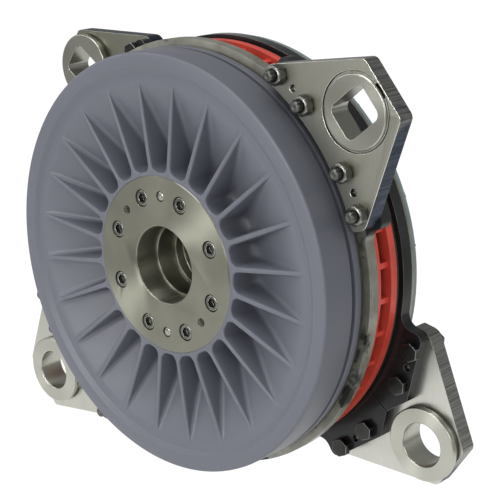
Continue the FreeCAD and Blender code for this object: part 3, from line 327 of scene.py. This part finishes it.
# Front dish: an iron casting in grey paint, with a flat rim, a cone floor and 24 thin tapered ribs.
# Each pocket is a U with a round root. Its walls lean by the mould's draft and its edges are soft.
rib_count, first_rib = 24, math.radians(10.4)
rib_half_in, rib_half_out = 0.0028, 0.0023
collar_in, collar_out = 0.10003, 0.104
collar_drop, collar_fall, collar_foot = 0.0008, 0.005, 0.0016
floor_in, floor_out, floor_depth = 0.106, 0.203, 0.039
root_sweep, root_end, sweep_used = 0.016, 0.121, 0.98
pocket_end, run_out, run_out_soft = 0.209, 0.006, 0.0012
tip_rows_end, rib_rows_start = 0.196, 0.192
middle_bend, root_middle, root_reach = 0.118, 0.1175, 0.0066
wall_draft = math.radians(5.0)
top_round, root_round, corner_round = 0.0021, 0.0055, 0.0092
wall_near, wall_deep = 0.004, 0.02
dish_radius, rim_front, rim_back = 0.235, -0.0045, 0.0365
rim_step_in, rim_step_out = 0.2120, 0.2185
groove_radius, groove_back, flange_back = 0.222, 0.0420, 0.0510
boss_radius, boss_end_radius, boss_back = 0.158, 0.1562, 0.0660
hub_seat_radius, hub_seat_front = 0.0651, 0.0202


def smooth_step(value):
    """Three times the square less twice the cube of a value held between 0 and 1."""
    held = np.clip(value, 0.0, 1.0)
    return held * held * (3 - 2 * held)


def pocket_depth(radius):
    """A straight cone from the collar to the ribs' outer ends, lifted by a quarter circle towards the
    collar's foot, with a soft run-out past the ribs."""
    near = np.clip(root_end - radius, 0.0, root_sweep * sweep_used)
    lift = root_sweep - np.sqrt(root_sweep ** 2 - near ** 2)
    straight = floor_depth * (floor_out - radius) / (floor_out - floor_in) - lift
    soft = 0.5 * (straight + np.sqrt(straight ** 2 + run_out_soft ** 2))
    return soft * smooth_step((pocket_end - radius) / run_out)


def wall_profile(depth):
    """Steps across a pocket's wall: round its top edge, down the draft and round its foot. Shallow walls
    keep their width and are only pressed flat."""
    full = np.maximum(depth, top_round + root_round)[..., None]
    lean_cos, lean_sin = math.cos(wall_draft), math.sin(wall_draft)
    top_turn = np.linspace(-math.pi / 2, -wall_draft, 5)
    foot_turn = np.linspace(math.pi - wall_draft, math.pi / 2, 8)
    down_share = np.array([0.25, 0.5, 0.75])
    top_at = -top_round * (1 - lean_sin) / lean_cos
    foot_at = (root_round + (full - root_round) * lean_sin) / lean_cos
    top_x = np.broadcast_to(top_at + top_round * np.cos(top_turn), full.shape[:-1] + top_turn.shape)
    top_y = np.broadcast_to(top_round + top_round * np.sin(top_turn), top_x.shape)
    foot_x = foot_at + root_round * np.cos(foot_turn)
    foot_y = full - root_round + root_round * np.sin(foot_turn)
    mid_x = top_x[..., -1:] + (foot_x[..., :1] - top_x[..., -1:]) * down_share
    mid_y = top_y[..., -1:] + (foot_y[..., :1] - top_y[..., -1:]) * down_share
    across = np.concatenate([top_x, mid_x, foot_x], axis=-1)
    down = np.concatenate([top_y, mid_y, foot_y], axis=-1)
    return across, down * (depth[..., None] / full)


def half_pocket():
    """Points (x, z, depth) of half a pocket beside a rib that lies along X. Rows follow the pocket's
    outline from its outer end to the middle of its root, columns go from the rib's middle line over
    the wall and the floor to the pocket's own middle line."""
    pitch = math.pi / rib_count
    root_z = rib_half_in + corner_round
    root_x = math.sqrt((collar_out + corner_round) ** 2 - root_z ** 2)
    reach = math.atan2(root_z, root_x)
    side = np.concatenate([np.linspace(pocket_end, tip_rows_end, 9),
                           np.linspace(rib_rows_start, root_x, 18)[:-1]])
    side_z = rib_half_in + (rib_half_out - rib_half_in) * (side - root_x) / (floor_out - root_x)
    bend = np.linspace(-math.pi / 2, -math.pi + reach, 12)
    end = np.linspace(reach, pitch, 6)[1:]
    rib_end = (end - reach) / (pitch - reach) * pitch
    outline = np.concatenate([
        np.stack([side, side_z], 1),
        np.stack([root_x + corner_round * np.cos(bend), root_z + corner_round * np.sin(bend)], 1),
        np.stack([collar_out * np.cos(end), collar_out * np.sin(end)], 1)])
    inward = np.concatenate([
        np.tile([0.0, 1.0], (len(side), 1)),
        np.stack([-np.cos(bend), -np.sin(bend)], 1),
        np.stack([np.cos(end), np.sin(end)], 1)])
    rib_line = np.concatenate([
        np.stack([side, np.zeros(len(side))], 1),
        np.stack([np.linspace(root_x, collar_in, len(bend)), np.zeros(len(bend))], 1),
        np.stack([collar_in * np.cos(rib_end), collar_in * np.sin(rib_end)], 1)])
    middle = np.concatenate([
        middle_bend + (side - side[-1]) * (pocket_end - middle_bend) / (side[0] - side[-1]),
        np.linspace(root_middle, collar_out + root_reach, len(outline) - len(side))])
    middle_line = np.stack([middle * math.cos(pitch), middle * math.sin(pitch)], 1)
    near = outline + wall_near * inward
    across, _ = wall_profile(pocket_depth(np.hypot(near[:, 0], near[:, 1])))
    wall = outline[:, None] + across[..., None] * inward[:, None]
    wall_depth = pocket_depth(np.hypot(wall[..., 0], wall[..., 1]))
    down = np.stack([wall_profile(wall_depth[:, k])[1][:, k] for k in range(across.shape[1])], 1)
    top_share = np.array([0.0, 0.5])[None, :, None]
    top = rib_line[:, None] + (wall[:, :1] - rib_line[:, None]) * top_share
    floor_share = np.array([0.25, 0.5, 0.75, 1.0])[None, :, None]
    ground = wall[:, -1:] + (middle_line[:, None] - wall[:, -1:]) * floor_share
    ground_depth = pocket_depth(np.hypot(ground[..., 0], ground[..., 1]))
    flat = np.concatenate([top, wall, ground], 1)
    depth = np.concatenate([np.zeros(top.shape[:2]), down, ground_depth], 1)
    radius = np.hypot(flat[..., 0], flat[..., 1])
    drop = collar_drop * smooth_step(1 - (radius - collar_out) / collar_fall)
    depth = np.maximum(depth, 0) + drop * np.clip(1 - depth / wall_deep, 0, 1)
    flat[0] *= (pocket_end / radius[0])[:, None]
    return flat, depth


def soft_profile(corners, steps=4):
    """The line through corners (radius, y, round) of a turned shape. Each inner corner becomes a curve
    between the points where an arc of its round would touch, drawn towards the corner as a parabola is:
    the start times (1 - s) squared, the corner times 2 s (1 - s) and the end times s squared."""
    places = np.array(corners)[:, :2]
    share = np.linspace(0, 1, steps)[:, None]
    line = [places[0]]
    for before, corner, after, (_, _, curve) in zip(places[:-2], places[1:-1], places[2:], corners[1:-1]):
        back_way = (before - corner) / np.linalg.norm(before - corner)
        on_way = (after - corner) / np.linalg.norm(after - corner)
        reach = curve / math.tan(0.5 * math.acos(np.clip(back_way @ on_way, -1, 1)))
        start, stop = corner + back_way * reach, corner + on_way * reach
        line.extend((1 - share) ** 2 * start + 2 * share * (1 - share) * corner + share ** 2 * stop)
    line.append(places[-1])
    return np.array(line)


def grid_faces(rows, columns, flip=False):
    """Four corner numbers for each cell of a grid of rows by columns."""
    index = np.arange(rows * columns).reshape(rows, columns)
    cells = np.stack([index[:-1, :-1], index[1:, :-1], index[1:, 1:], index[:-1, 1:]], -1).reshape(-1, 4)
    return cells[:, ::-1] if flip else cells


def closed_piece(name, grids, material, angle, mend):
    """One mesh from grids of points, each with its flip, welded, mended and turned outwards."""
    counts = np.cumsum([0] + [points[..., 0].size for points, _ in grids])
    faces = [grid_faces(*points.shape[:2], flip) + count for (points, flip), count in zip(grids, counts)]
    mesh = bpy.data.meshes.new(name)
    mesh.from_pydata(np.concatenate([points.reshape(-1, 3) for points, _ in grids]), [],
                     np.concatenate(faces).tolist())
    work = bmesh.new()
    work.from_mesh(mesh)
    bmesh.ops.remove_doubles(work, verts=work.verts, dist=weld)
    mend(work)
    bmesh.ops.recalc_face_normals(work, faces=work.faces)
    work.to_mesh(mesh)
    work.free()
    mesh.materials.append(material)
    return show(name, mesh, angle)


def half_pockets(flat, depth, side, turn):
    """Points (x, z) in the plane, mirrored for side -1, turned about the Y axis from X towards Z, at the
    depth along Y."""
    x, z = flat[..., 0], side * flat[..., 1]
    return np.stack([x * np.cos(turn) - z * np.sin(turn), depth, x * np.sin(turn) + z * np.cos(turn)], -1)


def bridge(work):
    """Joins the casting's ribbed front to its turned back."""
    bmesh.ops.bridge_loops(work, edges=[edge for edge in work.edges if edge.is_boundary])


flat, depth = half_pocket()
rib_turns = first_rib + 2 * np.pi * np.arange(rib_count) / rib_count
dish_grids = [(half_pockets(flat, depth, side, turn), side < 0) for side in (1, -1) for turn in rib_turns]
end_angles = np.arctan2(flat[0, :, 1], flat[0, :, 0])
end_angles = np.concatenate([-end_angles[:0:-1], end_angles[:-1]])
around = (rib_turns[:, None] + end_angles[None, :]).ravel()
around = np.append(around, around[0] + 2 * np.pi)
rim = soft_profile([
    (pocket_end, 0.0, 0.0), (rim_step_in, 0.0, 0.0028), (rim_step_out, rim_front, 0.0038),
    (dish_radius, rim_front, 0.0028), (dish_radius, rim_back, 0.0008), (groove_radius, rim_back, 0.0006),
    (groove_radius, groove_back, 0.0006), (dish_radius, groove_back, 0.0008),
    (dish_radius, flange_back, 0.001), (boss_radius, flange_back, 0.001),
    (boss_end_radius, boss_back, 0.001), (hub_seat_radius, boss_back, 0.001),
    (hub_seat_radius, hub_seat_front, 0.001), (collar_in, hub_seat_front, 0.001),
    (collar_in, collar_foot, 0.0)])
rim_height = np.broadcast_to(rim[:, 1:], (len(rim), len(around)))
rim_points = np.stack([rim[:, :1] * np.cos(around), rim_height, rim[:, :1] * np.sin(around)], -1)
dish_grids.append((rim_points, False))
dish_paint = finish("dish_paint", (0.108, 0.114, 0.138), 0.0, 0.42, 0.05, 6.0, 0.00006)
seat(closed_piece("front_dish_look", dish_grids, dish_paint, 60, bridge), "front_dish")

# Hub screws and dowels: black socket screws sunk in the flange, and two ground pins with a domed end
# and a centre mark.
pin_radius, pin_neck, pin_tip, pin_end = 0.0059, 0.0052, 0.0016, 0.0328
pin_span = 0.02
screw_steel = finish("screw_steel", (0.15, 0.15, 0.14), 1.0, 0.30, 0.2, 120.0, 0.00003, (500, 500, 500))
# Lighter grey on the screw heads' bevelled edges is a painted highlight.
screw_edge_highlight = finish("screw_edge_highlight", (0.40, 0.40, 0.36), 1.0, 0.26, 0.1, 60.0)
dress("hub_screws", screw_steel, 0.0005, arris=screw_edge_highlight)


def middles(node, span):
    """The middle of each like piece in a node. Points closer than span in X and Z belong together."""
    spots = spots_of(frame["nodes"][node].data)
    found = []
    while len(spots):
        near = np.hypot(spots[:, 0] - spots[0, 0], spots[:, 2] - spots[0, 2]) < span
        found.append((spots[near].min(axis=0) + spots[near].max(axis=0)) / 2)
        spots = spots[~near]
    return found


def drop_slivers(work):
    """Takes out the faces that shrink to nothing on the turning axis."""
    bmesh.ops.dissolve_degenerate(work, dist=1e-7, edges=work.edges)


def threaded(profile, thread):
    """The profile with close rows in place of its stretch from the thread's first y to its last."""
    rows = np.arange(thread["first"], thread["last"], thread["pitch"] / 6)
    shank = np.stack([np.full(len(rows), profile[:, 0].max()), rows], 1)
    before, after = profile[:, 1] < thread["first"], profile[:, 1] > thread["last"]
    return np.concatenate([profile[before], shank, profile[after]])


def round_piece(name, places, profile, material, thread=None, turns=36, flat=None, corner_turns=None):
    """Like pieces turned about lines along Y: a point is (radius cos a, y, radius sin a) for each radius
    and y of the profile. A thread takes off its depth times a triangle wave of y / pitch - a / 2 pi,
    less within a pitch of its ends. A hexagon keeps the radius within flat / cos of the angle from its
    flat's middle, with a corner at each piece's corner turn."""
    profile = np.array(profile) if thread is None else threaded(np.array(profile), thread)
    turn = np.linspace(0, 2 * np.pi, turns + 1)
    radius = np.broadcast_to(profile[:, :1], (len(profile), len(turn)))
    height = np.broadcast_to(profile[:, 1:], radius.shape)
    if thread:
        pitch = thread["pitch"]
        wave = np.abs(2 * np.mod(height / pitch - turn / (2 * np.pi), 1.0) - 1)
        inside = (smooth_step((height - thread["first"]) / pitch)
                  * smooth_step((thread["last"] - height) / pitch))
        radius = radius - thread["depth"] * wave * inside * (radius > thread["depth"])
    if flat:
        radius = np.minimum(radius, flat / np.cos(np.mod(turn, np.pi / 3) - np.pi / 6))
    grids = [(np.stack([x + radius * np.cos(turn + corner_turn), height,
                        z + radius * np.sin(turn + corner_turn)], -1), False)
             for (x, _, z), corner_turn in zip(places, corner_turns or [0.0] * len(places))]
    return closed_piece(name, grids, material, 40, drop_slivers)


pin_steel = finish("pin_steel", (0.40, 0.40, 0.355), 1.0, 0.26, 0.08, 60.0)
hub_pins = round_piece("hub_dowels_look", middles("hub_dowels", pin_span), [
    (0.0, pin_tip), (0.0011, 0.0006), (0.0013, 0.0004), (0.0036, 0.0005), (0.0046, 0.0009),
    (pin_neck, pin_tip), (0.0054, 0.0026), (pin_radius, 0.0030), (pin_radius, pin_end - 0.0008),
    (0.0055, pin_end), (0.0, pin_end)], pin_steel)
seat(hub_pins, "hub_dowels")

# Jack holes: the flange's two tapped holes, which press the hub off its shaft. A sleeve stands for the
# cut thread, just inside the face, and its pale colour is painted light inside the holes.
jack_turn, jack_circle = math.radians(137.9), 0.0775
jack_hole, jack_thread, jack_front, jack_back = 0.0052, 0.0047, 0.0014, 0.0214
# The sleeve's pale colour paints the lit inside of the holes.
jack_painted_light = finish("jack_painted_light", (0.60, 0.60, 0.55), 0.9, 0.30)
jack_places = [(way * jack_circle * math.cos(jack_turn), 0.0, way * jack_circle * math.sin(jack_turn))
               for way in (1, -1)]
jack_sleeves = round_piece("jack_threads", jack_places, [
    (jack_hole, jack_front), (0.0049, jack_front), (jack_thread, jack_front + 0.0006),
    (jack_thread, jack_back - 0.0004), (jack_hole, jack_back), (jack_hole, jack_front)], jack_painted_light)
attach(jack_sleeves, body_of["hub"])

# Front friction ring: two flame-cut steel halves, rubbed and oily, that carry a moulded lining on each
# side. The bare edge between dish and red plate shows grey steel with dark patches, and the ears are
# black with old oil.
ring_edge, ears_black = 0.2432, 0.2475


def coated(material, colour, share):
    """The colour takes over from the material's own by share, which is a socket."""
    tree = material.node_tree
    base = tree.nodes["Principled BSDF"].inputs["Base Color"]
    blend = add(tree, "Mix", {"data_type": "RGBA"}, {
        "Factor": share, "A": base.links[0].from_socket, "B": (*colour, 1)})
    tree.links.new(blend.outputs["Result"], base)


def patched(material, colour, scale, low, high, stretch=(1, 1, 1)):
    """The colour takes over where a noise of this scale goes from low to high."""
    tree = material.node_tree
    coated(material, colour, fade(tree, cloud(tree, scale, 6.0, stretch, 0.6), low, high, 0.0, 1.0))


ring_steel = finish("ring_steel", (0.30, 0.30, 0.255), 0.75, 0.42, 0.25, 40.0, 0.00008, (90, 90, 90))
patched(ring_steel, (0.035, 0.037, 0.033), 11.5, 0.55, 0.61)
patched(ring_steel, (0.06, 0.06, 0.055), 60.0, 0.60, 0.70, (1, 6, 1))
coated(ring_steel, (0.040, 0.043, 0.042),
       fade(ring_steel.node_tree, from_axis(ring_steel.node_tree), ring_edge, ears_black, 0.0, 1.0))
for side in ("left", "right"):
    dress("front_ring_%s_half" % side, ring_steel, 0.0008)
lining = finish("lining", (0.050, 0.046, 0.036), 0.0, 0.75, 0.35, 90.0, 0.0003, (450, 450, 450))
patched(lining, (0.16, 0.13, 0.07), 420.0, 0.66, 0.70)
for ring in ("front_ring", "rear_ring"):
    for side in ("left", "right"):
        for face in ("front", "back"):
            dress("%s_%s_%s_lining" % (ring, side, face), lining, 0.0004)

# Lug plates: thick steel plates, flame cut round the edge and then ground on both faces. The flame leaves
# drag lines across the thickness, in dark blue scale below a height set per plate and pale grey above it,
# and the arris is ground off, its lighter colour partly bare steel and partly a painted highlight. Each
# plate's face colour holds a painted reflection: lighter on the lower, round-bushed plates and darker on
# the upper, slotted ones.
edge_normal, face_normal = 0.25, 0.45
edge_roughness, face_roughness, drag_depth = 0.42, 0.30, 0.0002
drag_lines, border_blots, face_lines, border_half = (620, 14, 620), (30, 12, 30), (1700, 1700, 30), 0.03
scale_dark, scale_light = (0.020, 0.030, 0.048), (0.052, 0.068, 0.096)
pale_edge_dark, pale_edge_light = (0.19, 0.19, 0.175), (0.36, 0.36, 0.34)
# The face colours paint each plate's reflection: the lower, round-bushed plates lighter, the upper, slotted
# ones darker.
lug_plates = {
    "front_slot": {"face": (0.36, 0.36, 0.305), "pale_edge_above": 0.195},
    "front_round": {"face": (0.55, 0.55, 0.49), "pale_edge_above": -0.20},
    "rear_round": {"face": (0.62, 0.62, 0.57), "pale_edge_above": -0.190},
    "rear_slot": {"face": (0.30, 0.30, 0.24), "pale_edge_above": 0.50},
}


def plate_steel(name, face, pale_edge_above):
    """Faces across Y take the face colour, a painted reflection, with fine upright grinding lines. Where
    the normal turns away from Y the cut edge shows: scale below the height pale_edge_above and pale grey
    over it, with a ragged border."""
    material = finish(name, face, 1.0, face_roughness, 0.08, 14.0)
    tree = material.node_tree
    shader = tree.nodes["Principled BSDF"]
    place = add(tree, "TexCoord", {}, {})
    facing = add(tree, "SeparateXYZ", {}, {0: place.outputs["Normal"]})
    along = add(tree, "Math", {"operation": "ABSOLUTE"}, {0: facing.outputs["Y"]}).outputs[0]
    level = add(tree, "SeparateXYZ", {}, {0: place.outputs["Object"]}).outputs["Z"]
    on_face = fade(tree, along, edge_normal, face_normal, 0.0, 1.0)

    def blended(share, low, high):
        colours = [(*colour, 1) if isinstance(colour, tuple) else colour for colour in (low, high)]
        return add(tree, "Mix", {"data_type": "RGBA"}, {
            "Factor": share, "A": colours[0], "B": colours[1]}).outputs["Result"]

    drag = fade(tree, cloud(tree, 1.0, 4.0, drag_lines), 0.35, 0.65, 0.0, 1.0)
    above = fade(tree, level, pale_edge_above - border_half, pale_edge_above + border_half, 0.0, 0.5)
    ragged = add(tree, "Math", {}, {0: above, 1: cloud(tree, 1.0, 6.0, border_blots)}).outputs[0]
    edge = blended(fade(tree, ragged, 0.62, 0.84, 0.0, 1.0), blended(drag, scale_dark, scale_light),
                   blended(drag, pale_edge_dark, pale_edge_light))
    lines = fade(tree, cloud(tree, 1.0, 3.0, face_lines), 0.30, 0.70, 0.94, 1.05)
    ground = add(tree, "VectorMath", {"operation": "SCALE"}, {
        0: shader.inputs["Base Color"].links[0].from_socket, "Scale": lines}).outputs["Vector"]
    tree.links.new(blended(on_face, edge, ground), shader.inputs["Base Color"])
    tree.links.new(fade(tree, along, edge_normal, face_normal, edge_roughness, face_roughness),
                   shader.inputs["Roughness"])
    height = add(tree, "Mix", {}, {"Factor": on_face, "A": drag, "B": 0.5})
    bump(tree, height.outputs["Result"], drag_depth)
    return material


for lug, look in lug_plates.items():
    dress(lug + "_lug", plate_steel(lug + "_plate", look["face"], look["pale_edge_above"]), 0.0012,
          arris=arris_bare_and_highlight)

# Lug bushes: hardened steel bushes turned on a lathe, two with a round bore and two with a slot, each
# held in its plate by a spring clip.
bush_span, bush_rings = 0.2, 1600.0
bush_looks = {
    "slot": {"tone": 0.36, "stretch": 0.45},
    "round": {"tone": 0.52, "stretch": 0.8},
}
# Lighter grey on the bushes' bevelled edges is a painted highlight.
bush_edge_highlight = finish("bush_edge_highlight", (0.50, 0.50, 0.44), 1.0, 0.30, 0.1, 60.0)
clip_steel = finish("clip_steel", (0.30, 0.30, 0.27), 1.0, 0.32, 0.15, 80.0)
for lug in lug_plates:
    look = bush_looks[lug.split("_")[1]]
    centre = tuple(middles(lug + "_bush", bush_span)[0])
    bush_steel = finish(lug + "_bush_steel", (look["tone"], look["tone"], 0.88 * look["tone"]), 1.0, 0.30,
                        0.06, 20.0)
    dress(lug + "_bush", turned(bush_steel, look["stretch"], bush_rings, centre), 0.0007,
          arris=bush_edge_highlight, centre=centre)
    dress(lug + "_bush_clip", clip_steel, 0.0004)

# Front lug studs: each stud goes through plate and ring. Its thread shows beyond the nut, and its flat
# tip has a turned-off edge and a small centre mark.
stud_radius, stud_tip, stud_end, nut_front = 0.00595, 0.0171, 0.0697, 0.0249
stud_span = 0.015
stud_steel = finish("stud_steel", (0.13, 0.13, 0.12), 1.0, 0.34, 0.1, 60.0)
studs = round_piece("front_lug_studs_look", middles("front_lug_studs", stud_span), [
    (0.0, stud_tip + 0.0012), (0.0008, stud_tip + 0.0009), (0.0017, stud_tip + 0.0001), (0.0020, stud_tip),
    (0.0045, stud_tip), (0.0048, stud_tip + 0.0001), (0.0057, stud_tip + 0.0010),
    (stud_radius, stud_tip + 0.0014), (stud_radius, stud_tip + 0.0026), (stud_radius, stud_end - 0.0008),
    (0.0052, stud_end), (0.0, stud_end)], stud_steel,
    thread={"first": stud_tip + 0.0027, "last": nut_front + 0.0030, "pitch": 0.0015, "depth": 0.00016})
seat(studs, "front_lug_studs")

# Front lug nuts and dowels: hexagon nuts on the studs, with their corners turned off to a cone on both
# faces and the front cone in a lighter grey, a painted highlight. Dowels between the studs take the load.
nut_flat, nut_corner, nut_face, nut_hole, nut_back = 0.00948, 0.01095, 0.0089, 0.0061, 0.03578
nut_cone_front, nut_cone_length, nut_highlight_to = 0.00012, 0.0013, 0.0011
nut_span, corner_span = 0.024, 0.0125
bolt_steel = finish("bolt_steel", (0.14, 0.14, 0.13), 1.0, 0.26, 0.25, 90.0, 0.00004, (400, 400, 400))
nut_cone_highlight = finish("nut_cone_highlight", (0.27, 0.27, 0.25), 1.0, 0.26, 0.1, 90.0)


def corner_turn_of(node, place, span):
    """The angle from X towards Z of the corner farthest from a piece's middle."""
    across = spots_of(frame["nodes"][node].data)[:, [0, 2]] - place[[0, 2]]
    away = np.hypot(across[:, 0], across[:, 1])
    corner = across[np.argmax(np.where(away < span, away, 0))]
    return math.atan2(corner[1], corner[0])


cone = np.linspace(0.0, 1.0, 7)
front_cone = np.stack([nut_face + (nut_corner - nut_face) * cone,
                       nut_front + nut_cone_front + nut_cone_length * cone], 1)
back_cone = front_cone[::-1] * [1, -1] + [0, nut_front + nut_back]
nut_places = middles("front_lug_nuts", nut_span)
nuts = round_piece("front_lug_nuts_look", nut_places, [
    (nut_hole, nut_front + 0.0010), (nut_hole + 0.0008, nut_front + 0.0001), *front_cone.tolist(),
    *back_cone.tolist(), (nut_hole + 0.0008, nut_back - 0.0001), (nut_hole, nut_back - 0.0010),
    (nut_hole, nut_front + 0.0010)], bolt_steel, turns=48, flat=nut_flat,
    corner_turns=[corner_turn_of("front_lug_nuts", place, corner_span) for place in nut_places])
# The front cone faces take the lighter grey: a painted highlight.
nuts.data.materials.append(nut_cone_highlight)
face_middles = np.empty(len(nuts.data.polygons) * 3)
nuts.data.polygons.foreach_get("center", face_middles)
behind = face_middles[1::3] - nut_front
nuts.data.polygons.foreach_set("material_index",
                               ((behind > nut_cone_front) & (behind < nut_highlight_to)).astype(int))
seat(nuts, "front_lug_nuts")
dress("front_lug_dowels", pin_steel, 0.0008)

# Pressure plate: the red casting that squeezes the rings, two discs with vanes between them, in gloss
# enamel that has run thick over the casting's skin. Inside the rim the red turns dark, which is painted
# shade between the vanes. Bronze bushes guide it and a ring seals its barrel.
plate_rim, vane_shade_radius = 0.2305, 0.2170
red_enamel = finish("red_enamel", (0.56, 0.062, 0.040), 0.0, 0.33, 0.12, 30.0, 0.00012, (120, 120, 120))
# Dark red inside the rim is painted shade in the hollows between the vanes.
coated(red_enamel, (0.080, 0.012, 0.010),
       fade(red_enamel.node_tree, from_axis(red_enamel.node_tree), vane_shade_radius, plate_rim, 1.0, 0.0))
dress("pressure_plate", red_enamel, 0.0011)
dress("pin_bushes", finish("bronze", (0.45, 0.28, 0.10), 1.0, 0.35, 0.1, 60.0), 0.0004)
rubber = finish("seal_rubber", (0.018, 0.018, 0.018), 0.0, 0.55, 0.2, 80.0, 0.00004, (300, 300, 300))
dress("barrel_seal", rubber, 0.0005)

# Inside the dish: the turned piston that stays on the hub, its seal, the guide pins and the coil
# springs that push the red plate back. The springs get a mesh of their own.
dress("fixed_piston", hub_steel, 0.0006)
dress("piston_seal", rubber, 0.0005)
dress("guide_pins", pin_steel, 0.0005)
spring_steel = finish("spring_steel", (0.12, 0.12, 0.12), 1.0, 0.38, 0.2, 80.0)
springs = dress("return_springs", spring_steel, 0.0, 60)
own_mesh(springs)

# Rear friction ring: two cast halves in black gloss paint, with ears that carry the lugs, hexagon bolts
# from the front and nuts behind.
black_paint = finish("black_paint", (0.009, 0.010, 0.010), 0.0, 0.24, 0.3, 30.0, 0.00020, (110, 110, 110))
patched(black_paint, (0.060, 0.063, 0.056), 26.0, 0.68, 0.78)
black_paint.node_tree.nodes["Principled BSDF"].inputs["Specular IOR Level"].default_value = 0.35
# Lighter grey on the ring halves' bevelled edges is partly worn paint and partly a painted highlight.
worn_and_highlight_black = finish("worn_and_highlight_black", (0.14, 0.145, 0.14), 0.6, 0.30, 0.5, 45.0)
for side in ("left", "right"):
    dress("rear_ring_%s_half" % side, black_paint, 0.0009, arris=worn_and_highlight_black)
black_steel = finish("black_steel", (0.045, 0.046, 0.044), 0.9, 0.24, 0.3, 60.0, 0.00005, (300, 300, 300))
# Lighter grey on the bolts' and nuts' bevelled edges is a painted highlight.
black_edge_highlight = finish("black_edge_highlight", (0.26, 0.26, 0.25), 0.9, 0.26, 0.4, 70.0)
dress("rear_lug_bolts", black_steel, 0.0007, arris=black_edge_highlight)
dress("rear_lug_nuts", black_steel, 0.0006, arris=black_edge_highlight)
dress("rear_lug_dowels", pin_steel, 0.0008)

# Rear plate and its fittings: a casting in grey-green paint with a ring of hexagon screws near its edge,
# the wear ring that they hold, the keys on the hub and the lock nut behind.
rear_paint = finish("rear_paint", (0.17, 0.225, 0.225), 0.0, 0.42, 0.1, 30.0, 0.00010, (150, 150, 150))
dress("rear_plate", rear_paint, 0.0009)
dress("rear_screws", rear_paint, 0.0004)
dress("rear_wear_ring", ring_steel, 0.0006)
dress("rear_keys", ring_steel, 0.0006)
dress("lock_nut", bolt_steel, 0.0008)

# Edges: each dressed piece takes its ground edges into its mesh, so they are part of the piece's own
# shape and need no modifier.
depsgraph = bpy.context.evaluated_depsgraph_get()
edged = [(piece, bpy.data.meshes.new_from_object(piece.evaluated_get(depsgraph))) for piece in dressed]
for piece, mesh in edged:
    piece.modifiers.clear()
    piece.data = mesh
